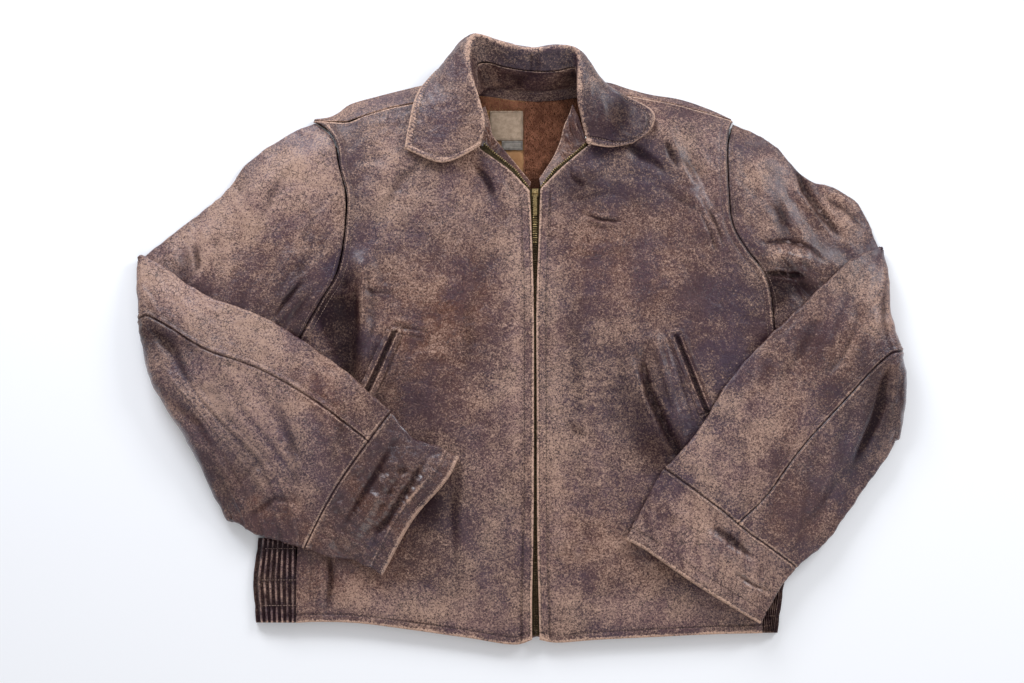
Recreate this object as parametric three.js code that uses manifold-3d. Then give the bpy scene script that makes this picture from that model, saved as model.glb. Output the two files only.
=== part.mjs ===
import * as THREE from "three";
import { mergeVertices } from "three/addons/utils/BufferGeometryUtils.js";
import Module from "manifold-3d";

// Worn leather jacket, lying on its back with the zip closed and both sleeves folded over the front.
// Millimetres. X runs across the jacket, Y toward the collar and Z up; z = 0 is the surface it lies
// on and x = 0 is the zip. Right and left are the wearer's, so the right side has negative X.

// Thickness of each material
const HIDE = 1.6;
const COLLAR_HIDE = 2.4;
const CUFF_HIDE = 2.2;
const RUCHED_HIDE = 1.3;
const PILE = 2.6;
const TAPE = 1.1;
const LABEL_CLOTH = 0.8;
const SEAM_GAP = 0.34;

// Height of the laid jacket
const EDGE_HEIGHT = 6.6;
const EDGE_REACH = 24;
const BODY_RISE = [[-340, 12], [-200, 19], [0, 25], [180, 29], [300, 31]];
const SLEEVE_HALF = 8.4;
const CUFF_HALF = 7.4;
const EDGE_HALF = 3.3;
const FOLD_GAP = 1.6;
const REST_GAP = 2.2;
const REST_REACH = 15;

// Divisions of the cloth pieces
const SIDE_ROWS = 15;
const ARMHOLE_ROWS = 9;
const ZIP_ROWS = 19;
const FRONT_ROWS = SIDE_ROWS + ARMHOLE_ROWS;
const FRONT_COLUMNS = 13;
const BACK_COLUMNS = 16;
const UPPER_ARM_ROWS = 8;
const TURN_ROWS = 6;
const FOREARM_ROWS = 10;
const CUFF_ROWS = 5;
const EDGE_STEPS = 3;

// Outlines of the right half: front, armhole, sleeve folded at the elbow, cuff
const RIGHT = {
  side: -1,
  hem: [[-262, -311], [-245, -310], [-197, -311], [-139, -318], [-74, -327], [-20, -334], [-4, -329]],
  sideSeam: [[-262, -311], [-263, -260], [-264, -216], [-280, -190], [-288, -140], [-284, -70],
    [-274, -14]],
  armhole: [[-274, -14], [-258, 16], [-241, 46], [-222, 82], [-215, 128], [-214, 168], [-222, 198],
    [-227, 228], [-235, 244], [-246, 256], [-258, 262]],
  zipEdge: [[-4, -329], [-4, -286], [-3, -243], [-2, -178], [-1.5, -68], [-1.5, 46], [-3.5, 124],
    [-5.5, 173]],
  neckEdge: [[-5.5, 173], [-28, 197], [-49, 213], [-63, 224], [-71, 245], [-79, 268], [-87, 288]],
  shoulderSeam: [[-258, 262], [-240, 260], [-215, 257], [-195, 265], [-166, 274], [-145, 278],
    [-109, 284], [-87, 288]],
  shoulderFold: [[-262, 267], [-240, 269], [-228, 275], [-217, 284], [-182, 295], [-136, 307],
    [-88, 318]],
  armTop: [[-258, 265], [-284, 251], [-312, 231], [-340, 209], [-360, 179], [-385, 161], [-424, 131],
    [-452, 108]],
  armUnder: [[-274, -14], [-306, -28], [-324, -92], [-336, -190]],
  elbowFold: [[-457, 102], [-451, 45], [-445, 2], [-429, -50], [-396, -99], [-364, -159], [-341, -204]],
  forearmTop: [[-447, 95], [-404, 70], [-376, 49], [-341, 37], [-307, 24], [-273, 6], [-249, -10],
    [-224, -27], [-200, -47], [-160, -82]],
  forearmUnder: [[-341, -204], [-309, -219], [-292, -223], [-253, -230]],
  cuffSeam: [[-160, -82], [-179, -108], [-219, -166], [-253, -230]],
  cuffTop: [[-160, -82], [-149, -96], [-138, -109], [-97, -124], [-85, -132]],
  cuffUnder: [[-253, -230], [-226, -239], [-199, -243], [-167, -259]],
  mouth: [[-85, -132], [-96, -154], [-134, -199], [-167, -259]],
  ruchedEdge: [[-306, -311], [-311, -265], [-306, -216]],
  backSeamStep: 2,
};

// Outlines of the left half
const LEFT = {
  side: 1,
  hem: [[248, -322], [196, -323], [131, -326], [67, -329], [20, -332], [4, -329]],
  sideSeam: [[248, -322], [250, -270], [256, -228], [270, -195], [284, -155], [284, -80], [273, -12]],
  armhole: [[273, -12], [269, 22], [265, 58], [258, 80], [243, 100], [225, 133], [221, 177],
    [221, 220], [224, 245], [231, 262]],
  zipEdge: [[4, -329], [3, -286], [2, -243], [1.5, -178], [1.5, -68], [1.5, 46], [4.5, 124], [6, 175]],
  neckEdge: [[6, 175], [30, 200], [53, 220], [64, 230], [71, 248], [77, 270], [82, 291]],
  shoulderSeam: [[231, 262], [210, 268], [188, 274], [157, 282], [120, 289], [99, 291], [82, 291]],
  shoulderFold: [[235, 266], [204, 279], [170, 291], [135, 297], [110, 304], [84, 312]],
  armTop: [[231, 266], [253, 254], [274, 241], [295, 221], [307, 202], [322, 193], [343, 189],
    [366, 179], [382, 160], [393, 134], [399, 115]],
  armUnder: [[273, -12], [316, -40], [362, -78], [400, -106]],
  elbowFold: [[401, 112], [403, 76], [403, 33], [409, 2], [415, -21], [416, -62], [409, -111]],
  forearmTop: [[390, 121], [368, 113], [353, 97], [324, 72], [299, 46], [263, 12], [218, -38],
    [199, -70], [178, -104], [142, -144]],
  forearmUnder: [[409, -111], [400, -126], [378, -155], [351, -188], [324, -221], [285, -251]],
  cuffSeam: [[142, -144], [182, -174], [208, -194], [228, -211], [254, -229], [285, -251]],
  cuffTop: [[142, -144], [128, -167], [117, -188], [99, -221]],
  cuffUnder: [[285, -251], [270, -268], [259, -287], [243, -311]],
  mouth: [[99, -221], [113, -228], [176, -271], [222, -299], [243, -311]],
  ruchedEdge: [[264, -322], [272, -275], [280, -232]],
  backSeamStep: 5,
};

// Large soft folds of the fronts: from, to, half-width and height above the panel
const BODY_FOLDS = [
  [[-193, 84], [-192, -60], 13, 7],
  [[-214, 62], [-209, -40], 12, -8],
  [[-240, 225], [-236, 100], 10, 3],
  [[134, 0], [164, -118], 9, 4],
  [[116, -18], [156, -124], 9, -5],
  [[0, -320], [0, 110], 14, 1.6],
  [[-60, -70], [-95, -260], 22, 3],
  [[150, 250], [196, 130], 12, 3],
  [[168, 240], [205, 150], 9, -3],
  [[-300, -205], [-262, -205], 14, 2],
];
const ARM_FOLDS = [
  [[-300, 190], [-420, 90], 18, 4],
  [[-250, 190], [-300, 60], 14, -4],
  [[306, 200], [350, 122], 9, -7],
  [[330, 190], [372, 130], 12, 5],
  [[262, 97], [322, 92], 13, 6],
  [[262, 62], [318, 58], 10, -6],
];
const FOREARM_FOLDS = [
  [[-440, 55], [-330, -30], 16, 3],
  [[-425, -20], [-370, -90], 12, 4],
  [[-330, -60], [-300, -190], 16, -3],
  [[-390, -40], [-330, -140], 12, -3],
  [[395, 30], [330, -60], 12, 3],
  [[360, 60], [300, -40], 14, -2.5],
  [[380, -60], [330, -150], 14, 4],
];
const CUFF_FOLDS = [
  [[-150, -150], [-215, -225], 8, 2.5],
  [[-125, -140], [-185, -240], 6, -2],
  [[190, -205], [256, -262], 9, -3],
  [[150, -200], [230, -245], 12, 2],
];

// Collar, by stations from the right front end round the back of the neck to the left one.
// Each row holds the neck seam, the seam of stand and fall, the roll line, mid fall and outer edge.
const COLLAR = [
  [[-64, 228, 33.5], [-62, 224, 36], [-63, 222, 40], [-104, 203, 40], [-149, 221, 35]],
  [[-69.5, 247, 33.5], [-59, 245, 38], [-57, 245, 45], [-99, 242, 43], [-145, 247, 35]],
  [[-76, 270, 32], [-65, 272, 39], [-62, 273, 49], [-98, 277, 45], [-138, 281, 33]],
  [[-62, 292, 20], [-66, 301, 37], [-73, 303, 51], [-102, 309, 42], [-127, 306, 21]],
  [[-57, 300, 11], [-65, 321, 37], [-76, 338, 52], [-96, 337, 36], [-104, 328, 13]],
  [[-44, 304, 6], [-55, 323, 37], [-68, 352, 51], [-77, 354, 34], [-70, 330, 4]],
  [[-26, 302.1, 4.6], [-33, 317, 37], [-36, 342, 51], [-37, 347, 30], [-36, 313, 3]],
  [[4, 300, 4.6], [4, 312, 37], [-2, 335, 50], [-2, 341, 29], [-2, 311, 3]],
  [[30, 302.1, 4.6], [28, 313, 37], [26, 338, 52], [28, 343, 30], [27, 312, 3]],
  [[49, 304.5, 6], [46, 316, 38], [47, 334, 53], [60, 331, 35], [62, 319, 4]],
  [[57, 294, 18], [48, 300, 38], [50, 305, 52], [70, 308, 43], [86, 300, 22]],
  [[74, 278, 31], [50, 277, 39], [49, 277, 50], [80, 280, 45], [113, 281, 32]],
  [[69, 254, 33], [54, 253, 38], [53, 253, 46], [92, 253, 43], [137, 264, 35]],
  [[64, 236, 33.5], [58, 238, 37], [57, 238, 42], [96, 233, 41], [134, 245, 35]],
  [[66, 228, 33.5], [60, 226, 36], [60, 225, 40], [86, 221, 40], [112, 227, 35]],
];
const COLLAR_STATIONS = 30;
const FALL_ROWS = 8;
const STAND_ROWS = 3;

// Slanted pockets, each with two welts: top and bottom of the slit between them
const POCKETS = { right: [[-158, 10], [-188, -60]], left: [[159, 5], [191, -80]] };
const WELT_WIDTH = 8;
const WELT_RISE = 1.5;
const SLIT = 2.4;

// Zip slider and its pull tab
const SLIDER = { x: 0.4, y: 171, width: 7, length: 9, thick: 2.2 };
const PIN_RADIUS = 0.7;
const EYE_HOLE = 0.78;
const EYE_RADIUS = 2.1;
const LUG_THICK = 1;
const TAB = { width: 4, length: 25, thick: 1.2, tilt: 0.1 };

const leather = new THREE.Color(0x40302f);
const MATERIALS = {
  hide: new THREE.MeshStandardMaterial({ color: leather, roughness: 0.5, metalness: 0 }),
  gloss: new THREE.MeshStandardMaterial({ color: 0x2f2124, roughness: 0.35, metalness: 0 }),
  facing: new THREE.MeshStandardMaterial({ color: 0x452c2d, roughness: 0.5, metalness: 0 }),
  pile: new THREE.MeshStandardMaterial({ color: 0x7d4523, roughness: 0.95, metalness: 0 }),
  label: new THREE.MeshStandardMaterial({ color: 0x9c8f6d, roughness: 0.9, metalness: 0 }),
  tab: new THREE.MeshStandardMaterial({ color: 0x76787a, roughness: 0.9, metalness: 0 }),
  tape: new THREE.MeshStandardMaterial({ color: 0x3b3222, roughness: 0.9, metalness: 0 }),
  brass: new THREE.MeshStandardMaterial({ color: 0x8f7b4a, roughness: 0.4, metalness: 0.9 }),
};

const kit = await Module();
kit.setup();
const jacket = new THREE.Group();

// Curves, patches and heights

function curve(points) {
  const places = points.map(([x, y, z = 0]) => new THREE.Vector3(x, y, z));
  return new THREE.CatmullRomCurve3(places, false, "centripetal");
}

function along(points) {
  const line = curve(points);
  return (t) => line.getPointAt(Math.min(Math.max(t, 0), 1));
}

// Two curves one after the other, with the change falling on a given share of the rows.
function joined(first, second, share) {
  return (t) => (t <= share ? first(t / share) : second((t - share) / (1 - share)));
}

function mix(a, b, t) {
  return a.clone().lerp(b, t);
}

// A patch between four curves: start and end run over u, low and high run over v.
function patch(start, end, low, high) {
  const fitted = (edge, u) => (v) => {
    const from = start(u).sub(edge(0));
    const to = end(u).sub(edge(1));
    return edge(v).add(mix(from, to, v));
  };
  const lowEdge = fitted(low, 0);
  const highEdge = fitted(high, 1);
  return (u, v) => {
    const ruled = mix(start(u), end(u), v);
    const sides = mix(lowEdge(v), highEdge(v), u);
    const corners = mix(mix(start(0), start(1), u), mix(end(0), end(1), u), v);
    return ruled.add(sides).sub(corners);
  };
}

function table(pairs, at) {
  for (let i = 1; i < pairs.length; i++) {
    const [[a, from], [b, to]] = [pairs[i - 1], pairs[i]];
    if (at < b || i === pairs.length - 1) {
      return THREE.MathUtils.lerp(from, to, THREE.MathUtils.clamp((at - a) / (b - a), 0, 1));
    }
  }
}

function distanceToSegment(x, y, [ax, ay], [bx, by]) {
  const [dx, dy] = [bx - ax, by - ay];
  const t = THREE.MathUtils.clamp(((x - ax) * dx + (y - ay) * dy) / (dx * dx + dy * dy), 0, 1);
  return Math.hypot(x - ax - t * dx, y - ay - t * dy);
}

function distanceToLine(x, y, points) {
  let nearest = Infinity;
  for (let i = 1; i < points.length; i++) {
    nearest = Math.min(nearest, distanceToSegment(x, y, points[i - 1], points[i]));
  }
  return nearest;
}

function foldHeight(folds, x, y) {
  let height = 0;
  for (const [from, to, width, rise] of folds) {
    const away = distanceToSegment(x, y, from, to) / width;
    height += rise * Math.exp(-away * away);
  }
  return height;
}

// Outline of the lower layer, body and upper arms together, without the open hem.
const OUTLINE = [RIGHT, LEFT].flatMap((half) => [
  [...half.ruchedEdge, ...half.sideSeam.slice(3)],
  half.armUnder,
  [...half.armTop].reverse(),
  half.shoulderFold,
]);

function bodyHeight(x, y) {
  const inward = Math.min(...OUTLINE.map((line) => distanceToLine(x, y, line)));
  const swell = 1 - Math.exp(-inward / EDGE_REACH);
  const rise = (table(BODY_RISE, y) - EDGE_HEIGHT) * swell;
  return EDGE_HEIGHT + rise + foldHeight(BODY_FOLDS, x, y) * swell;
}

// Solids from grids of points

function gridOf(rows, columns, point) {
  return Array.from({ length: rows + 1 }, (_, j) =>
    Array.from({ length: columns + 1 }, (_, i) => point(i / columns, j / rows, i, j)),
  );
}

function normalAt(grid, i, j, closed) {
  const columns = grid[0].length;
  const next = closed ? (i + 1) % columns : Math.min(i + 1, columns - 1);
  const last = closed ? (i + columns - 1) % columns : Math.max(i - 1, 0);
  const across = grid[j][next].clone().sub(grid[j][last]);
  const along = grid[Math.min(j + 1, grid.length - 1)][i].clone().sub(grid[Math.max(j - 1, 0)][i]);
  return across.cross(along).normalize();
}

function offset(grid, distance, closed) {
  return grid.map((row, j) =>
    row.map((p, i) => p.clone().addScaledVector(normalAt(grid, i, j, closed), distance)),
  );
}

// Moves the edges of a grid inward, so that sewn pieces stay apart.
function trimmed(grid, gap = SEAM_GAP / 2) {
  const out = grid.map((row) => row.map((p) => p.clone()));
  const pull = (p, toward) => p.add(toward.clone().sub(p).setLength(gap));
  for (const row of out) {
    pull(row[0], row[1]);
    pull(row.at(-1), row.at(-2));
  }
  for (let i = 0; i < out[0].length; i++) {
    pull(out[0][i], out[1][i]);
    pull(out.at(-1)[i], out.at(-2)[i]);
  }
  return out;
}

function signedVolume(points, faces) {
  let six = 0;
  for (let i = 0; i < faces.length; i += 3) {
    const [a, b, c] = [points[faces[i]], points[faces[i + 1]], points[faces[i + 2]]];
    six += a.dot(b.clone().cross(c));
  }
  return six;
}

// A closed wall between an outer and an inner grid, either open at four edges or a ring.
function wallBetween(outer, inner, closed = false) {
  const [rows, columns] = [outer.length, outer[0].length];
  const points = [...outer.flat(), ...inner.flat()];
  const half = rows * columns;
  const faces = [];
  const quad = (a, b, c, d) => faces.push(a, b, c, a, c, d);
  const at = (i, j) => j * columns + (i % columns);
  for (let j = 0; j + 1 < rows; j++) {
    for (let i = 0; i + (closed ? 0 : 1) < columns; i++) {
      quad(at(i, j), at(i + 1, j), at(i + 1, j + 1), at(i, j + 1));
      quad(half + at(i, j + 1), half + at(i + 1, j + 1), half + at(i + 1, j), half + at(i, j));
    }
  }
  for (let i = 0; i + (closed ? 0 : 1) < columns; i++) {
    const [a, b] = [at(i, 0), at(i + 1, 0)];
    const [c, d] = [at(i, rows - 1), at(i + 1, rows - 1)];
    quad(b, a, half + a, half + b);
    quad(c, d, half + d, half + c);
  }
  for (let j = 0; j + 1 < rows && !closed; j++) {
    const [a, b] = [at(0, j), at(0, j + 1)];
    const [c, d] = [at(columns - 1, j), at(columns - 1, j + 1)];
    quad(a, b, half + b, half + a);
    quad(d, c, half + c, half + d);
  }
  if (signedVolume(points, faces) < 0) faces.reverse();
  const geometry = new THREE.BufferGeometry().setFromPoints(points);
  geometry.setIndex(faces);
  geometry.computeVertexNormals();
  return geometry;
}

function wall(grid, thickness, closed = false) {
  return wallBetween(grid, offset(grid, -thickness, closed), closed);
}

function add(name, geometry, material) {
  const mesh = new THREE.Mesh(geometry, material.clone());
  mesh.name = name;
  jacket.add(mesh);
}

// The triangles of some grids, to lay other pieces on.
function topsOf(grids) {
  const faces = [];
  for (const grid of grids) {
    for (let j = 0; j + 1 < grid.length; j++) {
      for (let i = 0; i + 1 < grid[0].length; i++) {
        faces.push([grid[j][i], grid[j][i + 1], grid[j + 1][i + 1]]);
        faces.push([grid[j][i], grid[j + 1][i + 1], grid[j + 1][i]]);
      }
    }
  }
  return faces;
}

function heightOn(faces, x, y) {
  let top = 0;
  for (const [a, b, c] of faces) {
    if (x < Math.min(a.x, b.x, c.x) || x > Math.max(a.x, b.x, c.x)) continue;
    const area = (b.x - a.x) * (c.y - a.y) - (c.x - a.x) * (b.y - a.y);
    if (!area) continue;
    const s = ((x - a.x) * (c.y - a.y) - (c.x - a.x) * (y - a.y)) / area;
    const t = ((b.x - a.x) * (y - a.y) - (x - a.x) * (b.y - a.y)) / area;
    if (s < 0 || t < 0 || s + t > 1) continue;
    top = Math.max(top, a.z + s * (b.z - a.z) + t * (c.z - a.z));
  }
  return top;
}

// The highest top under a point, taken over a small reach round it.
function restHeight(faces, x, y) {
  let top = heightOn(faces, x, y);
  for (let k = 0; k < 8; k++) {
    const [dx, dy] = [Math.cos((k * Math.PI) / 4), Math.sin((k * Math.PI) / 4)];
    top = Math.max(top, heightOn(faces, x + REST_REACH * dx, y + REST_REACH * dy));
  }
  return top;
}

// Fronts: from the side seam and armhole to the zip and the neck, from the hem to the shoulder seam

const SIDE_SHARE = SIDE_ROWS / FRONT_ROWS;
const ZIP_SHARE = ZIP_ROWS / FRONT_ROWS;
const SIDE_DROP = 2.3;
const SIDE_CROWDING = 1.35;
const RUCHED_ROWS = 4;

function frontGrid(half) {
  const outer = joined(along(half.sideSeam), along(half.armhole), SIDE_SHARE);
  const inner = joined(along(half.zipEdge), along(half.neckEdge), ZIP_SHARE);
  const place = patch(along(half.hem), along(half.shoulderSeam), outer, inner);
  const grid = gridOf(FRONT_ROWS, FRONT_COLUMNS, (t, v, i, j) => {
    const p = place(Math.pow(t, SIDE_CROWDING), v);
    const sewnDown = i === 0 && j > RUCHED_ROWS && j < SIDE_ROWS;
    return p.setZ(bodyHeight(p.x, p.y) - (sewnDown ? SIDE_DROP : 0));
  });
  return half.side < 0 ? grid : grid.map((row) => row.reverse());
}

// Back: flat from the hem to the shoulders, then over the shoulder fold to the shoulder seam

const FOLD_RADIUS = EDGE_HALF;
const NECK_HALF_WIDTH = [60, 88];
const BACK_SHORTER = 3;
const BACK_INSET = 1.2;
const HALF_TURN_STEPS = [1 / 3, 2 / 3, 1];
const NECK_STEP = 1;
const SHOULDER_GAP = 1.5;

function backGrid() {
  const edge = (half) => {
    const line = joined(along(half.sideSeam), along(half.armhole), SIDE_SHARE);
    return (t) => line(t).add(new THREE.Vector3(-half.side * BACK_INSET, 0, 0));
  };
  const tip = (half) => [half.shoulderSeam[0][0] - half.side * BACK_INSET, 263.5];
  const inset = ([x, y]) => [x, y - FOLD_RADIUS];
  const crest = (half) => [tip(half), ...half.shoulderFold.slice(1).map(inset)];
  const neck = [[-58, 309], [-30, 301], [0, 298], [30, 300], [58, 305]];
  const topLine = [...crest(RIGHT), ...neck, ...crest(LEFT).reverse()];
  const hem = [...RIGHT.hem, ...[...LEFT.hem].reverse()];
  const hemLine = hem.map(([x, y]) => [x - Math.sign(x) * BACK_INSET, y + BACK_SHORTER]);
  const place = patch(along(hemLine), along(topLine), edge(RIGHT), edge(LEFT));
  const flat = gridOf(FRONT_ROWS, BACK_COLUMNS, (u, v) => place(u, v).setZ(0));
  const seams = [RIGHT, LEFT].map((half) => half.shoulderSeam);
  const start = flat.at(-1);
  for (let k = 1; k <= HALF_TURN_STEPS.length + 2; k++) {
    flat.push(start.map((p) => overShoulder(p, k, seams)));
  }
  return flat;
}

function overShoulder(p, k, seams) {
  const share = THREE.MathUtils.smoothstep(Math.abs(p.x), ...NECK_HALF_WIDTH);
  const seamY = seamHeightAt(seams[p.x < 0 ? 0 : 1], p.x);
  const halfTurn = Math.PI * FOLD_RADIUS;
  const onTop = Math.max(p.y - seamY - SHOULDER_GAP, 0.2);
  const full = k <= 3 ? halfTurn * HALF_TURN_STEPS[k - 1] : halfTurn + (onTop * (k - 3)) / 2;
  const run = share * full + (1 - share) * k * NECK_STEP;
  if (run <= halfTurn) {
    const angle = run / FOLD_RADIUS;
    const y = p.y + FOLD_RADIUS * Math.sin(angle);
    return new THREE.Vector3(p.x, y, FOLD_RADIUS * (1 - Math.cos(angle)));
  }
  const y = p.y - (run - halfTurn);
  return new THREE.Vector3(p.x, y, Math.max(bodyHeight(p.x, y), EDGE_HEIGHT));
}

function seamHeightAt(seam, x) {
  const ordered = [...seam].sort((a, b) => a[0] - b[0]);
  return table(ordered, x);
}

// Sleeves: a flattened tube from the armhole to the elbow, turned over there and laid over the front

function plumpness(p) {
  return Math.pow(Math.max(Math.sin(Math.PI * p), 0), 0.7);
}

function halfThickness(p, middle) {
  return EDGE_HALF + (middle - EDGE_HALF) * plumpness(p);
}

// The centre line of the elbow turn lies inside the outline by the outer radius of the turn.
function turnLine(half) {
  const edge = curve(half.elbowFold);
  return (p) => {
    const tangent = edge.getTangentAt(p);
    const outward = new THREE.Vector3(tangent.y, -tangent.x, 0).multiplyScalar(Math.sign(tangent.y) || 1);
    if (outward.x * half.side < 0) outward.negate();
    const radius = 2 * halfThickness(p, SLEEVE_HALF) + FOLD_GAP / 2;
    return { centre: edge.getPointAt(p).addScaledVector(outward, -radius), outward };
  };
}

// One ring round the tube: the side away from N, the top edge, the side toward N and the lower edge.
function ring(rows, j, side) {
  const sections = rows[j];
  const last = sections.length - 1;
  const away = sections.map(({ mid, half, N }) => mid.clone().addScaledVector(N, -half)).reverse();
  const toward = sections.map(({ mid, half, N }) => mid.clone().addScaledVector(N, half));
  const before = rows[Math.max(j - 1, 0)];
  const after = rows[Math.min(j + 1, rows.length - 1)];
  const edge = (k, sign, rising) => {
    const { mid, half, N } = sections[k];
    const run = after[k].mid.clone().sub(before[k].mid);
    const out = N.clone().cross(run).normalize().multiplyScalar(sign * half * (EDGE_ROUNDING[j] ?? 1));
    return Array.from({ length: EDGE_STEPS }, (_, n) => {
      const turn = (Math.PI * (n + 1)) / (EDGE_STEPS + 1);
      const angle = rising ? turn : Math.PI - turn;
      return mid.clone().addScaledVector(N, half * Math.cos(angle)).addScaledVector(out, Math.sin(angle));
    });
  };
  return [...away, ...edge(0, -side, false), ...toward, ...edge(last, side, true)];
}

const DOWN = new THREE.Vector3(0, 0, -1);
const UP = new THREE.Vector3(0, 0, 1);
const EDGE_INSET = 0.016;
const ARMHOLE_SHIFT = 0.006;
const TUBE_GAP = 0.48;
const EDGE_ROUNDING = [0.15, 0.6];

function insetShare(p, amount) {
  return amount + (1 - 2 * amount) * p;
}

function upperArmRows(half) {
  const turn = turnLine(half);
  const armhole = along([...half.armhole].reverse());
  const place = patch(armhole, (p) => turn(p).centre, along(half.armTop), along(half.armUnder));
  const rows = [];
  for (let j = 0; j <= UPPER_ARM_ROWS; j++) {
    const s = ARMHOLE_SHIFT + ((1 - ARMHOLE_SHIFT) * j) / UPPER_ARM_ROWS;
    rows.push(
      Array.from({ length: ARMHOLE_ROWS + 1 }, (_, k) => {
        const p = k / ARMHOLE_ROWS;
        const at = place(insetShare(p, EDGE_INSET), s);
        const atArmhole = Math.max(bodyHeight(at.x, at.y), 2 * EDGE_HALF);
        const atTurn = 2 * halfThickness(p, SLEEVE_HALF);
        const folds = foldHeight(ARM_FOLDS, at.x, at.y) * plumpness(p) * Math.sin(Math.PI * s);
        const top = THREE.MathUtils.lerp(atArmhole, atTurn, THREE.MathUtils.smoothstep(s, 0.05, 1)) + folds;
        const thick = Math.max(top, 2 * EDGE_HALF) / 2;
        return { mid: at.setZ(thick), half: thick, N: DOWN };
      }),
    );
  }
  return rows;
}

function elbowRows(half) {
  const turn = turnLine(half);
  const rows = [];
  for (let j = 1; j <= TURN_ROWS; j++) {
    const angle = (Math.PI * j) / TURN_ROWS;
    rows.push(
      Array.from({ length: ARMHOLE_ROWS + 1 }, (_, k) => {
        const p = k / ARMHOLE_ROWS;
        const { centre, outward } = turn(insetShare(p, EDGE_INSET));
        const thick = halfThickness(p, SLEEVE_HALF);
        const radius = thick + FOLD_GAP / 2;
        const N = outward.clone().multiplyScalar(Math.sin(angle)).setZ(-Math.cos(angle));
        const mid = centre.addScaledVector(N, radius);
        mid.z += 2 * thick + FOLD_GAP / 2;
        return { mid, half: thick, N };
      }),
    );
  }
  return rows;
}

// Forearm and cuff lie on what is below them, and bridge the hollows like a stiff hide.
function forearmRows(half, lower) {
  const turn = turnLine(half);
  const seam = along(half.cuffSeam);
  const arm = patch((p) => turn(p).centre, seam, along(half.forearmTop), along(half.forearmUnder));
  const cuff = patch(seam, along(half.mouth), along(half.cuffTop), along(half.cuffUnder));
  const total = FOREARM_ROWS + CUFF_ROWS;
  const grid = gridOf(total, ARMHOLE_ROWS, (p, _, k, j) => {
    const onCuff = j > FOREARM_ROWS;
    const s = onCuff ? (j - FOREARM_ROWS) / CUFF_ROWS : j / FOREARM_ROWS;
    const at = (onCuff ? cuff : arm)(insetShare(p, EDGE_INSET), s);
    const atTurn = 2 * halfThickness(p, SLEEVE_HALF) + FOLD_GAP;
    return at.setZ(j === 0 ? atTurn : restHeight(lower, at.x, at.y) + REST_GAP);
  });
  bridge(grid);
  return grid.map((row, j) =>
    row.map((p, k) => {
      const share = k / ARMHOLE_ROWS;
      const middle = THREE.MathUtils.lerp(SLEEVE_HALF, CUFF_HALF, Math.min(j / FOREARM_ROWS, 1));
      const fading = Math.min(j / 3, 1) * plumpness(share);
      const folds = foldHeight(j > FOREARM_ROWS ? CUFF_FOLDS : FOREARM_FOLDS, p.x, p.y) * fading;
      const thick = halfThickness(share, middle) + folds / 2;
      return { mid: p.clone().setZ(p.z + thick), half: thick, N: UP };
    }),
  );
}

// Raises each point to the mean of its neighbours, over and over, and never lowers one.
function bridge(grid) {
  for (let pass = 0; pass < 14; pass++) {
    for (let j = 1; j < grid.length; j++) {
      for (let i = 0; i < grid[0].length; i++) {
        const before = grid[j - 1][i].z;
        const after = (grid[j + 1] ?? grid[j])[i].z;
        const sides = (grid[j][i - 1] ?? grid[j][i]).z + (grid[j][i + 1] ?? grid[j][i]).z;
        grid[j][i].z = Math.max(grid[j][i].z, (before + after + sides) / 4);
      }
    }
  }
}

function sleeve(half, name, lower) {
  const sections = [...upperArmRows(half), ...elbowRows(half), ...forearmRows(half, lower).slice(1)];
  const rings = sections.map((_, j) => ring(sections, j, half.side));
  const seamRow = UPPER_ARM_ROWS + TURN_ROWS + FOREARM_ROWS;
  const armRows = rings.slice(0, seamRow + 1);
  const inside = inwardOf(armRows, HIDE);
  const topLast = ARMHOLE_ROWS + EDGE_STEPS + 1 + half.backSeamStep;
  const top = (row) => row.slice(0, topLast + 1);
  const under = (row) => [...row.slice(topLast), row[0]];
  const part = (cut) => wallBetween(trimmed(armRows.map(cut), TUBE_GAP), trimmed(inside.map(cut), TUBE_GAP));
  add("sleeve_top_" + name, part(top), MATERIALS.hide);
  add("sleeve_under_" + name, part(under), MATERIALS.gloss);
  const cuffRows = rings.slice(seamRow);
  const apart = (p, i) => p.clone().add(cuffRows[1][i].clone().sub(p).setLength(SEAM_GAP));
  cuffRows[0] = cuffRows[0].map(apart);
  add("cuff_" + name, wallBetween(cuffRows, inwardOf(cuffRows, CUFF_HIDE), true), MATERIALS.gloss);
}

// The inner side of a tube made of rings.
function inwardOf(rings, thickness) {
  const inner = offset(rings, thickness, true);
  const across = (row) => row[0].distanceTo(row[Math.floor(row.length / 2)]);
  const middle = Math.floor(rings.length / 2);
  return across(inner[middle]) < across(rings[middle]) ? inner : offset(rings, -thickness, true);
}

// Ruched panels at the waist: gathered hide that goes round the side, with three rows of stitching

const GATHERS = 8;
const GATHER_RISE = 1.9;
const RUCHED_STEPS = 6;
const STITCH_ROWS = [0.03, 0.36, 0.7];

function ruchedPath(half, y) {
  const seam = seamHeightAt(half.sideSeam.slice(0, 3).map(([x, at]) => [at, x]), y);
  const edge = seamHeightAt(half.ruchedEdge.map(([x, at]) => [at, x]), y) - half.side * FOLD_RADIUS;
  return { seam: seam + half.side * 3 * SEAM_GAP, edge };
}

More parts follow.
